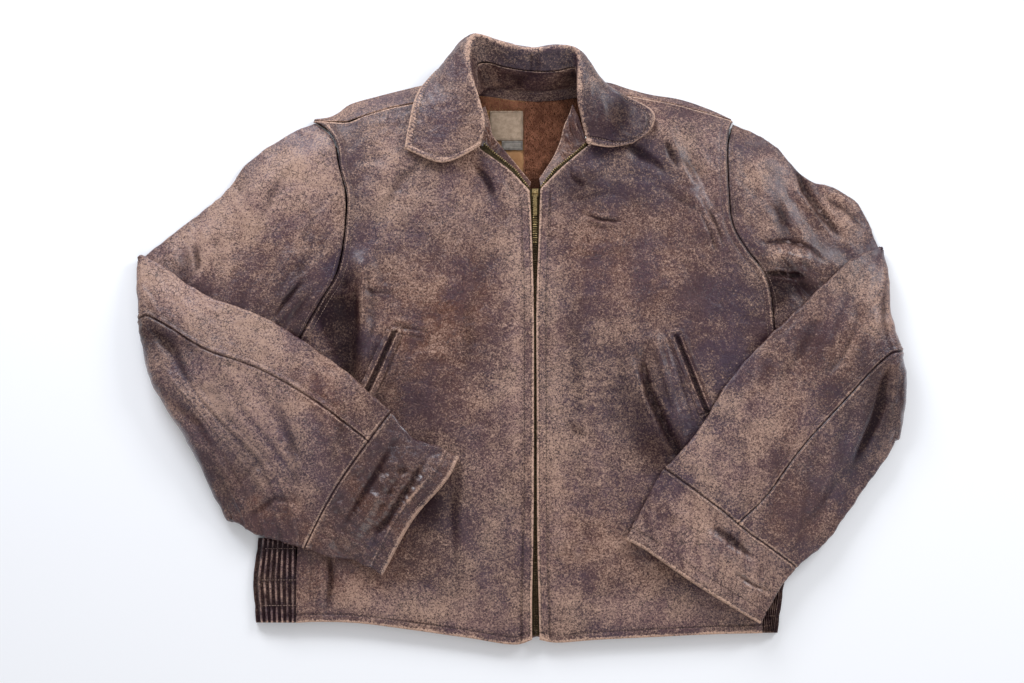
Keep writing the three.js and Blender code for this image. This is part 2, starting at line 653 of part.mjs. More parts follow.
function ruchedGrid(half, rise) {
  const from = half.sideSeam[0][1];
  const to = half.sideSeam[2][1] - 3;
  const steps = GATHERS * 4;
  return gridOf(RUCHED_STEPS, steps + 6, (_, v, i) => {
    const y = from + (to - from) * v + 0.5;
    const { seam, edge } = ruchedPath(half, y);
    const pinch = Math.min(...STITCH_ROWS.map((row) => Math.abs(row - v) / 0.14), 1);
    const wave = rise * (0.35 + 0.65 * pinch) * Math.pow(Math.sin((Math.PI * GATHERS * i) / steps), 2);
    if (i <= steps - 4) {
      const x = THREE.MathUtils.lerp(seam, edge, i / (steps - 4));
      return new THREE.Vector3(x, y, Math.max(bodyHeight(x, y), EDGE_HEIGHT) + wave);
    }
    if (i <= steps + 4) {
      const angle = (Math.PI * (i - steps + 4)) / 8;
      const radius = FOLD_RADIUS + wave * Math.sin(angle);
      const x = edge + half.side * radius * Math.sin(angle);
      return new THREE.Vector3(x, y, Math.max(FOLD_RADIUS + radius * Math.cos(angle), 0));
    }
    return new THREE.Vector3(THREE.MathUtils.lerp(edge, seam, (i - steps - 4) / 2), y, 0);
  });
}

function ruchedPanel(half) {
  const plain = ruchedGrid(half, 0.25);
  const inward = half.side < 0 ? RUCHED_HIDE : -RUCHED_HIDE;
  return wallBetween(ruchedGrid(half, GATHER_RISE), offset(plain, inward));
}

// Pocket welts: two narrow turned strips on the front, one each side of the slit

function welts(pocket, name, faces) {
  const laid = [];
  const [top, bottom] = pocket.map(([x, y]) => new THREE.Vector3(x, y, 0));
  const down = bottom.clone().sub(top).normalize();
  const aside = new THREE.Vector3(-down.y, down.x, 0);
  for (const [label, sign] of [["inner", 1], ["outer", -1]]) {
    const toZip = sign * -Math.sign(top.x) * Math.sign(aside.x);
    const grid = gridOf(7, 2, (u, v) => {
      const p = mix(top, bottom, v).addScaledVector(aside, toZip * (SLIT / 2 + u * WELT_WIDTH));
      const round = Math.sin(Math.PI * (0.15 + 0.7 * u)) * 0.4;
      return p.setZ(weltBase(faces, p) + WELT_RISE + round);
    });
    const below = grid.map((row) => row.map((p) => p.clone().setZ(weltBase(faces, p))));
    add("welt_" + label + "_" + name, wallBetween(grid, below), MATERIALS.hide);
    laid.push(grid);
  }
  return laid;
}

function weltBase(faces, p) {
  let top = 0;
  for (const [dx, dy] of [[0, 0], [3, 0], [-3, 0], [0, 6], [0, -6]]) {
    top = Math.max(top, heightOn(faces, p.x + dx, p.y + dy));
  }
  return top + SEAM_GAP;
}

// Collar: a stand round the neck and a fall that rolls over it

function collarLines() {
  const lines = [0, 1, 2, 3, 4].map((n) => curve(COLLAR.map((station) => station[n])));
  return (n, t) => lines[n].getPoint(t);
}

function collarParts(faces) {
  const line = collarLines();
  const stand = gridOf(STAND_ROWS, COLLAR_STATIONS, (t, v) => mix(line(0, t), line(1, t), 0.95 * v));
  const fall = gridOf(FALL_ROWS, COLLAR_STATIONS, (t, v) => {
    const profile = new THREE.CatmullRomCurve3([1, 2, 3, 4].map((n) => line(n, t)), false, "centripetal");
    const p = profile.getPoint(0.06 + 0.94 * v);
    const clear = v > 0.34 ? heightOn(faces, p.x, p.y) + COLLAR_HIDE + 1.4 : 0;
    return p.setZ(Math.max(p.z, clear));
  });
  add("collar_stand", wall(trimmed(stand), HIDE), MATERIALS.hide);
  add("collar_fall", wall(trimmed(fall), COLLAR_HIDE), MATERIALS.hide);
}

// Lining, facings, label and zip, where they show in the neck opening.
// Each facing has its upper line under the front's edge and its lower line on the lining.

const LINING_SEAM = -11;
const LINING_TOP = 5;
const BELOW_TAPE = HIDE + 1 + TAPE + 0.6;
const FACING_LINES = {
  right: [
    [[-8, 168], [-30, 192], [-51, 208], [-62, 222], [-61, 246], [-64, 272]],
    [[-4, 186, 19], [-24, 212, 17], [-39, 231, 16], [-48, 243, 17], [-52, 260, 18], [-57, 278, 19]],
  ],
  left: [
    [[8, 170], [32, 196], [55, 216], [59, 228], [57, 242], [51, 262]],
    [[5, 190, 19], [22, 218, 17], [30, 238, 16], [34, 254, 17], [40, 268, 18], [44, 280, 19]],
  ],
};

function liningPart(from, to) {
  const top = [[-70, 296], [-50, 294], [-26, 290], [4, 288], [30, 290], [49, 293], [66, 292]];
  const grid = gridOf(4, 6, (u, v) => {
    const x = from + (to - from) * u;
    return new THREE.Vector3(x, THREE.MathUtils.lerp(150, table(top, x), v), LINING_TOP);
  });
  return wall(trimmed(grid), PILE);
}

function facing([high, low]) {
  const [a, b] = [along(high), along(low)];
  const under = (t) => {
    const p = a(t);
    return p.setZ(bodyHeight(p.x, p.y) - BELOW_TAPE);
  };
  const grid = gridOf(2, 10, (t, v) => mix(under(t), b(t), v));
  return wallBetween(grid, grid.map((row) => row.map((p) => p.clone().setZ(p.z - HIDE))));
}

function flatPiece(x0, x1, y0, y1, top, thickness) {
  const grid = gridOf(2, 3, (u, v) => new THREE.Vector3(x0 + (x1 - x0) * u, y0 + (y1 - y0) * v, top));
  return wall(grid, thickness);
}

const TAPE_HIDDEN = [[13, -324], [13, -200], [13, -60], [13, 60], [14, 140], [17, 166], [38, 187],
  [60, 205], [72, 217]];
const TAPE_SHOWN = [[0.4, -324], [0.4, -200], [0.4, -60], [0.4, 60], [0.4, 140], [0.6, 170], [22, 199],
  [44, 217], [57, 229]];

function zipTape(half) {
  const out = half.side;
  const stations = TAPE_HIDDEN.map(([x, y], n) => {
    const edge = [[out * x, y], [out * TAPE_SHOWN[n][0], TAPE_SHOWN[n][1]]];
    return edge.map(([px, py]) => new THREE.Vector3(px, py, bodyHeight(px, py) - HIDE - 1));
  });
  const grid = stations.map(([a, b]) => [a, mix(a, b, 0.5), b]);
  return wallBetween(grid, grid.map((row) => row.map((p) => p.clone().setZ(p.z - TAPE))));
}

function manifoldOf(geometry) {
  const bare = new THREE.BufferGeometry();
  bare.setAttribute("position", geometry.getAttribute("position"));
  bare.setIndex(geometry.index);
  const merged = mergeVertices(bare, 1e-4);
  const triVerts = new Uint32Array(merged.index.array);
  return new kit.Manifold(
    new kit.Mesh({ numProp: 3, vertProperties: merged.attributes.position.array, triVerts }),
  );
}

function geometryOf(solid) {
  const mesh = solid.getMesh();
  const geometry = new THREE.BufferGeometry();
  geometry.setAttribute("position", new THREE.BufferAttribute(mesh.vertProperties, 3));
  geometry.setIndex(new THREE.BufferAttribute(mesh.triVerts, 1));
  geometry.computeVertexNormals();
  return geometry;
}

function block(width, length, height, x, y, z) {
  return manifoldOf(new THREE.BoxGeometry(width, length, height).translate(x, y, z));
}

function rod(radius, length, x, y, z) {
  const upright = new THREE.CylinderGeometry(radius, radius, length, 20);
  return manifoldOf(upright.rotateZ(Math.PI / 2).translate(x, y, z));
}

function slider() {
  const { x, y, width, length, thick } = SLIDER;
  const base = bodyHeight(x, y) - HIDE - 1 + SEAM_GAP;
  const eye = { y, z: base + thick + EYE_RADIUS + 0.4 };
  const lugHeight = thick / 2 + EYE_RADIUS + 1.4;
  const lugAside = TAB.width / 2 + 0.4 + LUG_THICK / 2;
  let body = block(width, length, thick, x, y, base + thick / 2);
  for (const sign of [-1, 1]) {
    const lug = block(LUG_THICK, 3, lugHeight, x + sign * lugAside, y, base + thick / 2 + lugHeight / 2);
    body = body.add(lug);
  }
  body = body.add(rod(PIN_RADIUS, 2 * lugAside, x, eye.y, eye.z));
  const bar = block(TAB.width, TAB.length, TAB.thick, 0, -TAB.length / 2, 0);
  const hook = rod(EYE_RADIUS, TAB.width, 0, 0, 0);
  const end = manifoldOf(
    new THREE.CylinderGeometry(TAB.width / 2, TAB.width / 2, TAB.thick, 20)
      .rotateX(Math.PI / 2)
      .translate(0, -TAB.length, 0),
  );
  const tab = bar.add(hook).add(end).subtract(rod(EYE_HOLE, TAB.width + 2, 0, 0, 0));
  const laid = geometryOf(tab).rotateX(TAB.tilt).translate(x, eye.y, eye.z);
  add("zip_slider", geometryOf(body), MATERIALS.brass);
  add("zip_pull", laid, MATERIALS.brass);
}

const fronts = [frontGrid(RIGHT), frontGrid(LEFT)];
const back = backGrid();
add("front_right", wall(trimmed(fronts[0]), HIDE), MATERIALS.hide);
add("front_left", wall(trimmed(fronts[1]), HIDE), MATERIALS.hide);
add("back", wallBetween(trimmed(back), offset(trimmed(back), HIDE)), MATERIALS.hide);
const ruched = [RIGHT, LEFT].map((half) => ruchedGrid(half, GATHER_RISE));
add("side_ruching_right", ruchedPanel(RIGHT), MATERIALS.gloss);
add("side_ruching_left", ruchedPanel(LEFT), MATERIALS.gloss);

const frontFaces = topsOf(fronts);
const pockets = [
  ...welts(POCKETS.right, "right", frontFaces),
  ...welts(POCKETS.left, "left", frontFaces),
];

for (const [half, name] of [[RIGHT, "right"], [LEFT, "left"]]) {
  const raised = ({ mid, half: thick }) => mid.clone().setZ(mid.z + thick);
  const armTop = upperArmRows(half).map((row) => row.map(raised));
  sleeve(half, name, topsOf([...fronts, ...pockets, ...ruched, armTop]));
}
collarParts(topsOf([...fronts, back.slice(-4)]));

add("lining_right", liningPart(-70, LINING_SEAM), MATERIALS.pile);
add("lining_left", liningPart(LINING_SEAM, 66), MATERIALS.pile);
add("facing_right", facing(FACING_LINES.right), MATERIALS.facing);
add("facing_left", facing(FACING_LINES.left), MATERIALS.facing);
const labelTop = LINING_TOP + SEAM_GAP + LABEL_CLOTH;
add("neck_label", flatPiece(-52, -13, 240, 276, labelTop, LABEL_CLOTH), MATERIALS.label);
add("size_tab", flatPiece(-38, -13.5, 228.5, 239.6, labelTop, LABEL_CLOTH), MATERIALS.tab);
add("zip_tape_right", zipTape(RIGHT), MATERIALS.tape);
add("zip_tape_left", zipTape(LEFT), MATERIALS.tape);
slider();

export default jacket;
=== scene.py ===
import math

import bmesh
import bpy
import numpy as np
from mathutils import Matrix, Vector
from mathutils.bvhtree import BVHTree


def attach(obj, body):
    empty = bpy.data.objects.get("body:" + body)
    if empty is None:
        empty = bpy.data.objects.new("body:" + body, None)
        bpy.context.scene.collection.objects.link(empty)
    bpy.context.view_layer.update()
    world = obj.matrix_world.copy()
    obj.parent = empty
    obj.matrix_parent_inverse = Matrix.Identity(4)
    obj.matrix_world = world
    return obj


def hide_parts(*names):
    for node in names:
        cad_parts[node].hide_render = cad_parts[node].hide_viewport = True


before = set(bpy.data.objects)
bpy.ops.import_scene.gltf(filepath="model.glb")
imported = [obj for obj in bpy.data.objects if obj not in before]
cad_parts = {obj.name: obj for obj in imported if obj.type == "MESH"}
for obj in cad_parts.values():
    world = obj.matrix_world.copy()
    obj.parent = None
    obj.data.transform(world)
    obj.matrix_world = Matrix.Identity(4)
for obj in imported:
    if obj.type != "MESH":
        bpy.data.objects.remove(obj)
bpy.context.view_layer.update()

# Camera, table and studio light
# The jacket lies on a plain white table, seen from above and a little from the hem side.
# Large soft lamps hang over it, the coolest one over the collar.
VIEW_TARGET = Vector((-0.026, 0.0, 0.02))
VIEW_DISTANCE = 1.6
VIEW_ELEVATION = math.radians(80)
VIEW_WAY = Vector((0, -math.cos(VIEW_ELEVATION), math.sin(VIEW_ELEVATION)))


def put(name, data):
    made = bpy.data.objects.new(name, data)
    bpy.context.scene.collection.objects.link(made)
    return made


def aim(thing, place, target):
    thing.location = place
    thing.rotation_mode = "QUATERNION"
    thing.rotation_quaternion = (Vector(target) - Vector(place)).to_track_quat("-Z", "Y")


camera = put("camera", bpy.data.cameras.new("camera"))
camera.data.lens = 50
camera.data.sensor_width = 36
aim(camera, VIEW_TARGET + VIEW_DISTANCE * VIEW_WAY, VIEW_TARGET)
bpy.context.scene.camera = camera

world = bpy.data.worlds.new("studio")
world.use_nodes = True
sky = world.node_tree.nodes["Background"]
sky.inputs["Color"].default_value = (0.93, 0.95, 1.0, 1)
sky.inputs["Strength"].default_value = 0.50
bpy.context.scene.world = world
bpy.context.scene.view_settings.view_transform = "Standard"

# Name, place, what it shines on, size in metres, power in watts, colour
LAMPS = [
    ("window lamp", (-0.70, 1.45, 0.95), (0.0, 0.05, 0.0), 0.8, 25, (0.88, 0.92, 1.0)),
    ("far lamp", (1.25, 0.95, 1.05), (0.1, 0.0, 0.0), 0.6, 14, (0.9, 0.94, 1.0)),
    ("front lamp", (0.5, -1.8, 2.1), (0.2, -0.1, 0.0), 1.6, 13, (1.0, 0.98, 0.96)),
]
for name, place, target, size, power, colour in LAMPS:
    lamp = put(name, bpy.data.lights.new(name, "AREA"))
    lamp.data.size = size
    lamp.data.energy = power
    lamp.data.color = colour
    aim(lamp, place, target)


def new_finish(name):
    material = bpy.data.materials.new(name)
    material.use_nodes = True
    tree = material.node_tree
    return material, tree, tree.nodes["Principled BSDF"]


TABLE_HALF = 3.0
TABLE_CORNERS = [(x * TABLE_HALF, y * TABLE_HALF, 0) for x, y in ((-1, -1), (1, -1), (1, 1), (-1, 1))]
table_paint, _, shader = new_finish("white table")
shader.inputs["Base Color"].default_value = (0.97, 0.97, 0.975, 1)
shader.inputs["Roughness"].default_value = 0.7
table_mesh = bpy.data.meshes.new("table")
table_mesh.from_pydata(TABLE_CORNERS, [], [(0, 1, 2, 3)])
table_mesh.materials.append(table_paint)
table = put("table", table_mesh)


# Leather finish
# Chrome-tanned hide, dyed plum brown and glazed. Rubbing has taken the glaze and the dye off in
# fine flecks, most on seams and folds, and left dry tan flesh. Shared by every leather piece.
def sockets(tree, inputs, outputs):
    names = {}
    for label, kind, value in inputs:
        socket = tree.interface.new_socket(label, in_out="INPUT", socket_type="NodeSocket" + kind)
        if value is not None:
            socket.default_value = value
        names[label] = socket.identifier
    for label, kind in outputs:
        tree.interface.new_socket(label, in_out="OUTPUT", socket_type="NodeSocket" + kind)
    return tree.nodes.new("NodeGroupInput"), tree.nodes.new("NodeGroupOutput"), names


def group(name, inputs, outputs):
    tree = bpy.data.node_groups.new(name, "ShaderNodeTree")
    return (tree,) + sockets(tree, inputs, outputs)[:2]


def feed(tree, made, links):
    for socket, source in links:
        if hasattr(source, "is_linked"):
            tree.links.new(source, made.inputs[socket])
        else:
            made.inputs[socket].default_value = source
    return made


def step_node(tree, kind, links=(), **settings):
    made = tree.nodes.new(kind)
    for key, value in settings.items():
        setattr(made, key, value)
    return feed(tree, made, links)


def node(tree, kind, links=(), **settings):
    return step_node(tree, "ShaderNode" + kind, links, **settings)


def maths(tree, operation, a, b=0.0, clamp=False):
    return node(tree, "Math", [(0, a), (1, b)], operation=operation, use_clamp=clamp).outputs[0]


def times(tree, a, b, clamp=False):
    return maths(tree, "MULTIPLY", a, b, clamp)


def plus(tree, a, b, clamp=False):
    return maths(tree, "ADD", a, b, clamp)


def minus(tree, a, b):
    return maths(tree, "SUBTRACT", a, b)


def ramp(tree, value, low, high, to_low=0.0, to_high=1.0):
    links = [("Value", value), ("From Min", low), ("From Max", high), ("To Min", to_low), ("To Max", to_high)]
    return node(tree, "MapRange", links, interpolation_type="SMOOTHSTEP").outputs["Result"]


def blend_colour(tree, share, a, b):
    return node(tree, "Mix", [(0, share), (6, a), (7, b)], data_type="RGBA").outputs[2]


def noise(tree, place, scale, detail=4.0, rough=0.6, distortion=0.0):
    links = [("Vector", place), ("Scale", scale), ("Detail", detail), ("Roughness", rough),
             ("Distortion", distortion)]
    return node(tree, "TexNoise", links).outputs["Fac"]


# Pebbled grain with the dry cracks between its plates
grain_tree, grain_in, grain_out = group(
    "hide grain",
    [("Place", "Vector", None), ("Pebble scale", "Float", 900.0), ("Crack scale", "Float", 150.0)],
    [("Height", "Float"), ("Cracks", "Float")])
at = grain_in.outputs["Place"]
warp = node(grain_tree, "TexNoise", [("Vector", at), ("Scale", 90.0), ("Detail", 2.0)]).outputs["Color"]
bent = node(grain_tree, "VectorMath", [(0, warp), (1, (0.007, 0.007, 0.007))],
            operation="MULTIPLY").outputs[0]
bent = node(grain_tree, "VectorMath", [(0, at), (1, bent)], operation="ADD").outputs[0]
pebble = node(grain_tree, "TexVoronoi", [("Vector", at),
                                         ("Scale", grain_in.outputs["Pebble scale"])]).outputs["Distance"]
plates = node(grain_tree, "TexVoronoi", [("Vector", bent), ("Scale", grain_in.outputs["Crack scale"])],
              feature="DISTANCE_TO_EDGE").outputs["Distance"]
broken = ramp(grain_tree, noise(grain_tree, at, 30.0, 2.0), 0.44, 0.62)
cracks = times(grain_tree, ramp(grain_tree, plates, 0.0, 0.06, 1.0, 0.0), broken)
soft = noise(grain_tree, at, 260.0, 3.0, 0.7)
height = minus(grain_tree, times(grain_tree, soft, 1.3), times(grain_tree, pebble, 0.4))
height = minus(grain_tree, height, times(grain_tree, cracks, 0.7))
grain_tree.links.new(height, grain_out.inputs["Height"])
grain_tree.links.new(cracks, grain_out.inputs["Cracks"])

# Rubbed flecks: where the dye is gone, thick on worn places and thin elsewhere
rub_tree, rub_in, rub_out = group(
    "rubbed flecks",
    [("Place", "Vector", None), ("Rubbed", "Float", 0.2), ("Worn edge", "Float", 0.0)],
    [("Bare", "Float"), ("Cloud", "Float"), ("Speck", "Float"), ("Hue", "Float")])
at = rub_in.outputs["Place"]
cloud = noise(rub_tree, at, 24.0, 4.0, 0.62)
hue = noise(rub_tree, at, 15.0, 2.0)
drift = noise(rub_tree, at, 150.0, 3.0, 0.7, 1.6)
speck = noise(rub_tree, at, 540.0, 2.0, 0.85, 0.6)
mixed = plus(rub_tree, times(rub_tree, speck, 0.55), times(rub_tree, drift, 0.25))
mixed = plus(rub_tree, mixed, times(rub_tree, minus(rub_tree, cloud, 0.12), 0.32))
limit = node(rub_tree, "MapRange", [("Value", rub_in.outputs["Rubbed"]), ("To Min", 0.62),
                                    ("To Max", 0.44)]).outputs["Result"]
bare = ramp(rub_tree, minus(rub_tree, mixed, limit), -0.10, 0.11)
worn = times(rub_tree, minus(rub_tree, mixed, 0.5), 3.4)
worn = ramp(rub_tree, plus(rub_tree, rub_in.outputs["Worn edge"], worn), 0.3, 1.0)
worn = times(rub_tree, worn, ramp(rub_tree, rub_in.outputs["Worn edge"], 0.02, 0.3))
rub_tree.links.new(maths(rub_tree, "MAXIMUM", times(rub_tree, bare, 0.68), worn, True),
                   rub_out.inputs["Bare"])
rub_tree.links.new(cloud, rub_out.inputs["Cloud"])
rub_tree.links.new(speck, rub_out.inputs["Speck"])
rub_tree.links.new(ramp(rub_tree, hue, 0.4, 0.62), rub_out.inputs["Hue"])

PLUM = (0.058, 0.023, 0.030, 1)
DEEP_PLUM = (0.010, 0.005, 0.007, 1)
RUSSET = (0.120, 0.040, 0.022, 1)
VIOLET = (0.052, 0.028, 0.056, 1)
WASHED = (0.155, 0.078, 0.082, 1)
BARE_TAN = (0.62, 0.395, 0.290, 1)
CRACK_DARK = (0.012, 0.006, 0.007, 1)
MARKS = ("rubbed", "edge", "russet", "gloss", "dark")
HIDE_ROUGHNESS = 0.56
GLAZE_POLISH = 0.32
COAT_ROUGHNESS = 0.50
COAT_TINT = (0.93, 0.94, 1.0, 1)
GRAIN_DEPTH = 0.0004
SLACK_DEPTH = 0.0026


# Dye and glaze, russet and washed patches, painted shade, bare flecks, pores and cracks
def hide_colour(tree, mark, rub, grain):
    tone = ramp(tree, rub.outputs["Cloud"], 0.34, 0.66)
    grit = ramp(tree, rub.outputs["Speck"], 0.36, 0.62)
    colour = blend_colour(tree, rub.outputs["Hue"], PLUM, VIOLET)
    deep_share = times(tree, grit, ramp(tree, tone, 0.0, 1.0, 0.5, 1.0))
    colour = blend_colour(tree, deep_share, colour, DEEP_PLUM)
    red_share = times(tree, plus(tree, tone, 0.4), mark["russet"], True)
    colour = blend_colour(tree, red_share, colour, RUSSET)
    wash = times(tree, mark["rubbed"], minus(tree, 1.1, tone), True)
    colour = blend_colour(tree, wash, colour, WASHED)
    # Painted shade: the dark mark darkens hollows, crease troughs, seam grooves and slits towards deep plum;
    # in places it is darker tone
    colour = blend_colour(tree, times(tree, mark["dark"], 0.85), colour, DEEP_PLUM)
    # Bare flecks are held back under the painted shade and under the glaze
    shade_tone_and_glaze = plus(tree, mark["dark"], times(tree, mark["gloss"], 0.45))
    fleck_share = maths(tree, "MAXIMUM", ramp(tree, shade_tone_and_glaze, 0.3, 1.1, 1.0, 0.28),
                    times(tree, mark["edge"], 0.9))
    colour = blend_colour(tree, times(tree, rub.outputs["Bare"], fleck_share), colour, BARE_TAN)
    pores = ramp(tree, rub.outputs["Speck"], 0.36, 0.48, 0.62, 0.0)
    colour = blend_colour(tree, pores, colour, DEEP_PLUM)
    crack_share = times(tree, grain.outputs["Cracks"], ramp(tree, mark["rubbed"], 0.1, 0.8, 0.25, 0.75))
    return blend_colour(tree, crack_share, colour, CRACK_DARK)


# Dull where it is rubbed, glossy where the glaze is left; under the dark mark the reflection and the coat are
# turned down, as painted shade in hollows
def hide_gloss(tree, shader, mark, rub, shine):
    rough = minus(tree, HIDE_ROUGHNESS, times(tree, mark["gloss"], GLAZE_POLISH))
    rough = plus(tree, rough, times(tree, rub.outputs["Bare"], 0.25))
    rough = plus(tree, rough, times(tree, minus(tree, rub.outputs["Cloud"], 0.5), 0.3), True)
    tree.links.new(rough, shader.inputs["Roughness"])
    tree.links.new(ramp(tree, mark["dark"], 0.1, 0.9, 0.3, 0.06), shader.inputs["Specular IOR Level"])
    coat = times(tree, mark["gloss"], minus(tree, 1.0, rub.outputs["Bare"]))
    coat = times(tree, coat, ramp(tree, mark["dark"], 0.2, 0.9, 1.0, 0.15))
    tree.links.new(times(tree, coat, shine, True), shader.inputs["Coat Weight"])
    shader.inputs["Coat Roughness"].default_value = COAT_ROUGHNESS - GLAZE_POLISH * shine
    shader.inputs["Coat Tint"].default_value = COAT_TINT


def leather_finish(name, shine=0.5, pebble_scale=900.0, crack_scale=150.0):
    material, tree, shader = new_finish(name)
    place = node(tree, "TexCoord").outputs["Object"]
    mark = {label: node(tree, "Attribute", attribute_name=label).outputs["Fac"] for label in MARKS}
    rub = node(tree, "Group", node_tree=rub_tree)
    feed(tree, rub, [("Place", place), ("Rubbed", mark["rubbed"]), ("Worn edge", mark["edge"])])
    grain = node(tree, "Group", node_tree=grain_tree)
    feed(tree, grain, [("Pebble scale", pebble_scale), ("Crack scale", crack_scale), ("Place", place)])
    tree.links.new(hide_colour(tree, mark, rub, grain), shader.inputs["Base Color"])
    hide_gloss(tree, shader, mark, rub, shine)
    waves = noise(tree, place, 60.0, 3.0, 0.6, 0.8)
    slack = node(tree, "Bump", [("Height", waves), ("Distance", SLACK_DEPTH), ("Strength", 0.8)])
    bump_links = [("Height", grain.outputs["Height"]), ("Distance", GRAIN_DEPTH),
                  ("Normal", slack.outputs["Normal"])]
    bump = node(tree, "Bump", bump_links)
    tree.links.new(bump.outputs["Normal"], shader.inputs["Normal"])
    return material


# Stitching
# Heavy cotton thread, tan where it is rubbed and dark with old dye elsewhere. Every row is laid
# on its leather stitch by stitch.
MM = 0.001
STITCH_PITCH = 0.0032
STITCH_LONG, STITCH_WIDE, STITCH_TALL = 2.3, 0.75, 0.55
STITCH_SUNK, STITCH_SUNK_TOP = 0.35, 0.1
# Each ring of a stitch: share of its length and width, rise of its foot, share of its height
STITCH_RINGS = ((-0.5, 0.5, 0, 0.1), (-0.3, 1, 0, 0.8), (0, 1, 0, 1), (0.3, 1, 0, 0.8), (0.5, 0.5, 0, 0.1))
THREAD_LIFT = 0.12


def instance_tree(name, inputs):
    tree = bpy.data.node_groups.new(name, "GeometryNodeTree")
    tree.is_modifier = True
    start, finish, names = sockets(tree, [("Geometry", "Geometry", None)] + inputs,
                                   [("Geometry", "Geometry")])
    return tree, names, start, finish


# The outlet of a node that its present settings switch on
def live(made):
    return [s for s in made.outputs if s.enabled][0]


# The last steps of a tree: make the copies real, give them their finish and hand them out
def hand_out(tree, copies, finish, end):
    real = step_node(tree, "GeometryNodeRealizeInstances", [("Geometry", copies.outputs[0])])
    dressed = step_node(tree, "GeometryNodeSetMaterial",
                        [("Geometry", real.outputs[0]), ("Material", finish)])
    tree.links.new(dressed.outputs[0], end.inputs[0])


# The result of a tree on a source object, as a plain mesh
def grown(name, source, tree, values):
    modifier = source.modifiers.new(name, "NODES")
    modifier.node_group = tree
    for identifier, value in values:
        modifier[identifier] = value
    bpy.context.scene.collection.objects.link(source)
    view = bpy.context.evaluated_depsgraph_get()
    mesh = bpy.data.meshes.new_from_object(source.evaluated_get(view))
    source.modifiers.remove(modifier)
    bpy.data.objects.remove(source)
    return put(name, mesh)


row_tree, row_inputs, row_in, row_out = instance_tree(
    "row along a line", [("Pitch", "Float", STITCH_PITCH), ("Unit", "Object", None),
                         ("Finish", "Material", None)])
line = step_node(row_tree, "GeometryNodeMeshToCurve", [("Mesh", row_in.outputs["Geometry"])])
line = step_node(row_tree, "GeometryNodeResampleCurve",
                 [("Curve", line.outputs[0]), ("Length", row_in.outputs["Pitch"])], mode="LENGTH")
tangent = step_node(row_tree, "GeometryNodeInputTangent")
facing_out = step_node(row_tree, "GeometryNodeInputNamedAttribute", [("Name", "up")],
                       data_type="FLOAT_VECTOR")
turn = step_node(row_tree, "FunctionNodeAlignRotationToVector", [("Vector", tangent.outputs[0])], axis="X")
turn = step_node(row_tree, "FunctionNodeAlignRotationToVector",
                 [("Rotation", turn.outputs[0]), ("Vector", facing_out.outputs[0])], axis="Z", pivot_axis="X")
unit = step_node(row_tree, "GeometryNodeObjectInfo", [("Object", row_in.outputs["Unit"])])
size = step_node(row_tree, "FunctionNodeRandomValue", [("Min", 0.85), ("Max", 1.1), ("Seed", 4)],
                 data_type="FLOAT")
laid = step_node(row_tree, "GeometryNodeInstanceOnPoints",
                 [("Points", line.outputs[0]), ("Instance", unit.outputs["Geometry"]),
                  ("Rotation", turn.outputs[0])])
row_tree.links.new(live(size), laid.inputs["Scale"])
hand_out(row_tree, laid, row_in.outputs["Finish"], row_out)


def smooth_mesh(name, points, faces):
    mesh = bpy.data.meshes.new(name)
    mesh.from_pydata((np.array(points) * MM).tolist(), [], faces)
    mesh.shade_smooth()
    return mesh


# A unit is a short body along X, given as rings of (x, half width, low z, high z)
def unit_shape(name, rings):
    points, faces = [], []
    for x, half, low, high in rings:
        points += [(x, -half, low), (x, half, low), (x, half * 0.6, high), (x, -half * 0.6, high)]
    for n in range(len(rings) - 1):
        faces += [(4 * n + k, 4 * n + (k + 1) % 4, 4 * n + 4 + (k + 1) % 4, 4 * n + 4 + k) for k in range(4)]
    last = 4 * len(rings) - 4
    faces += [(3, 2, 1, 0), (last, last + 1, last + 2, last + 3)]
    return put(name, smooth_mesh(name, points, faces))


stitch = unit_shape("stitch", [
    (STITCH_LONG * reach, STITCH_WIDE / 2 * wide, foot - STITCH_SUNK, STITCH_TALL * tall - STITCH_SUNK_TOP)
    for reach, wide, foot, tall in STITCH_RINGS])


def thread_finish(name, colour, dirt):
    material, tree, shader = new_finish(name)
    place = node(tree, "TexCoord").outputs["Object"]
    soiled = ramp(tree, noise(tree, place, 120.0, 3.0, 0.7), 0.35, 0.65)
    strands = node(tree, "TexWave", [("Vector", place), ("Scale", 2600.0), ("Distortion", 1.0)],
                   bands_direction="DIAGONAL").outputs["Fac"]
    tree.links.new(blend_colour(tree, soiled, colour, dirt), shader.inputs["Base Color"])
    shader.inputs["Roughness"].default_value = 0.8
    bump = node(tree, "Bump", [("Height", strands), ("Distance", 0.0001)])
    tree.links.new(bump.outputs["Normal"], shader.inputs["Normal"])
    return material


TAN_THREAD = thread_finish("tan thread", (0.42, 0.28, 0.22, 1), (0.13, 0.075, 0.06, 1))
DARK_THREAD = thread_finish("dark thread", (0.075, 0.040, 0.035, 1), (0.022, 0.012, 0.012, 1))


# Units along rows, each row a run of places and the directions that face out of the leather there
def in_rows(name, rows, unit, finish, pitch):
    points, ups, edges = [], [], []
    for places, normals in rows:
        start = len(points)
        points += (places + THREAD_LIFT * normals).tolist()
        ups += normals.tolist()
        edges += [(k, k + 1) for k in range(start, len(points) - 1)]
    mesh = bpy.data.meshes.new(name + "_line")
    mesh.from_pydata((np.array(points) * MM).tolist(), edges, [])
    up = mesh.attributes.new("up", "FLOAT_VECTOR", "POINT")
    up.data.foreach_set("vector", np.array(ups, np.float32).ravel())
    line = bpy.data.objects.new(name + "_line", mesh)
    values = [(row_inputs["Pitch"], pitch), (row_inputs["Unit"], unit), (row_inputs["Finish"], finish)]
    return grown(name, line, row_tree, values)


def sewn(name, rows, thread):
    piece = in_rows(name, rows, stitch, thread, STITCH_PITCH)
    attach(piece, "jacket")


# A line beside another, so many millimetres to its left
def beside(points, distance, count=120):
    line = spline(points, np.linspace(0, 1, count))[:, :2]
    run = np.gradient(line, axis=0)
    run /= np.linalg.norm(run, axis=1, keepdims=True)
    return line + distance * np.stack([-run[:, 1], run[:, 0]], 1)


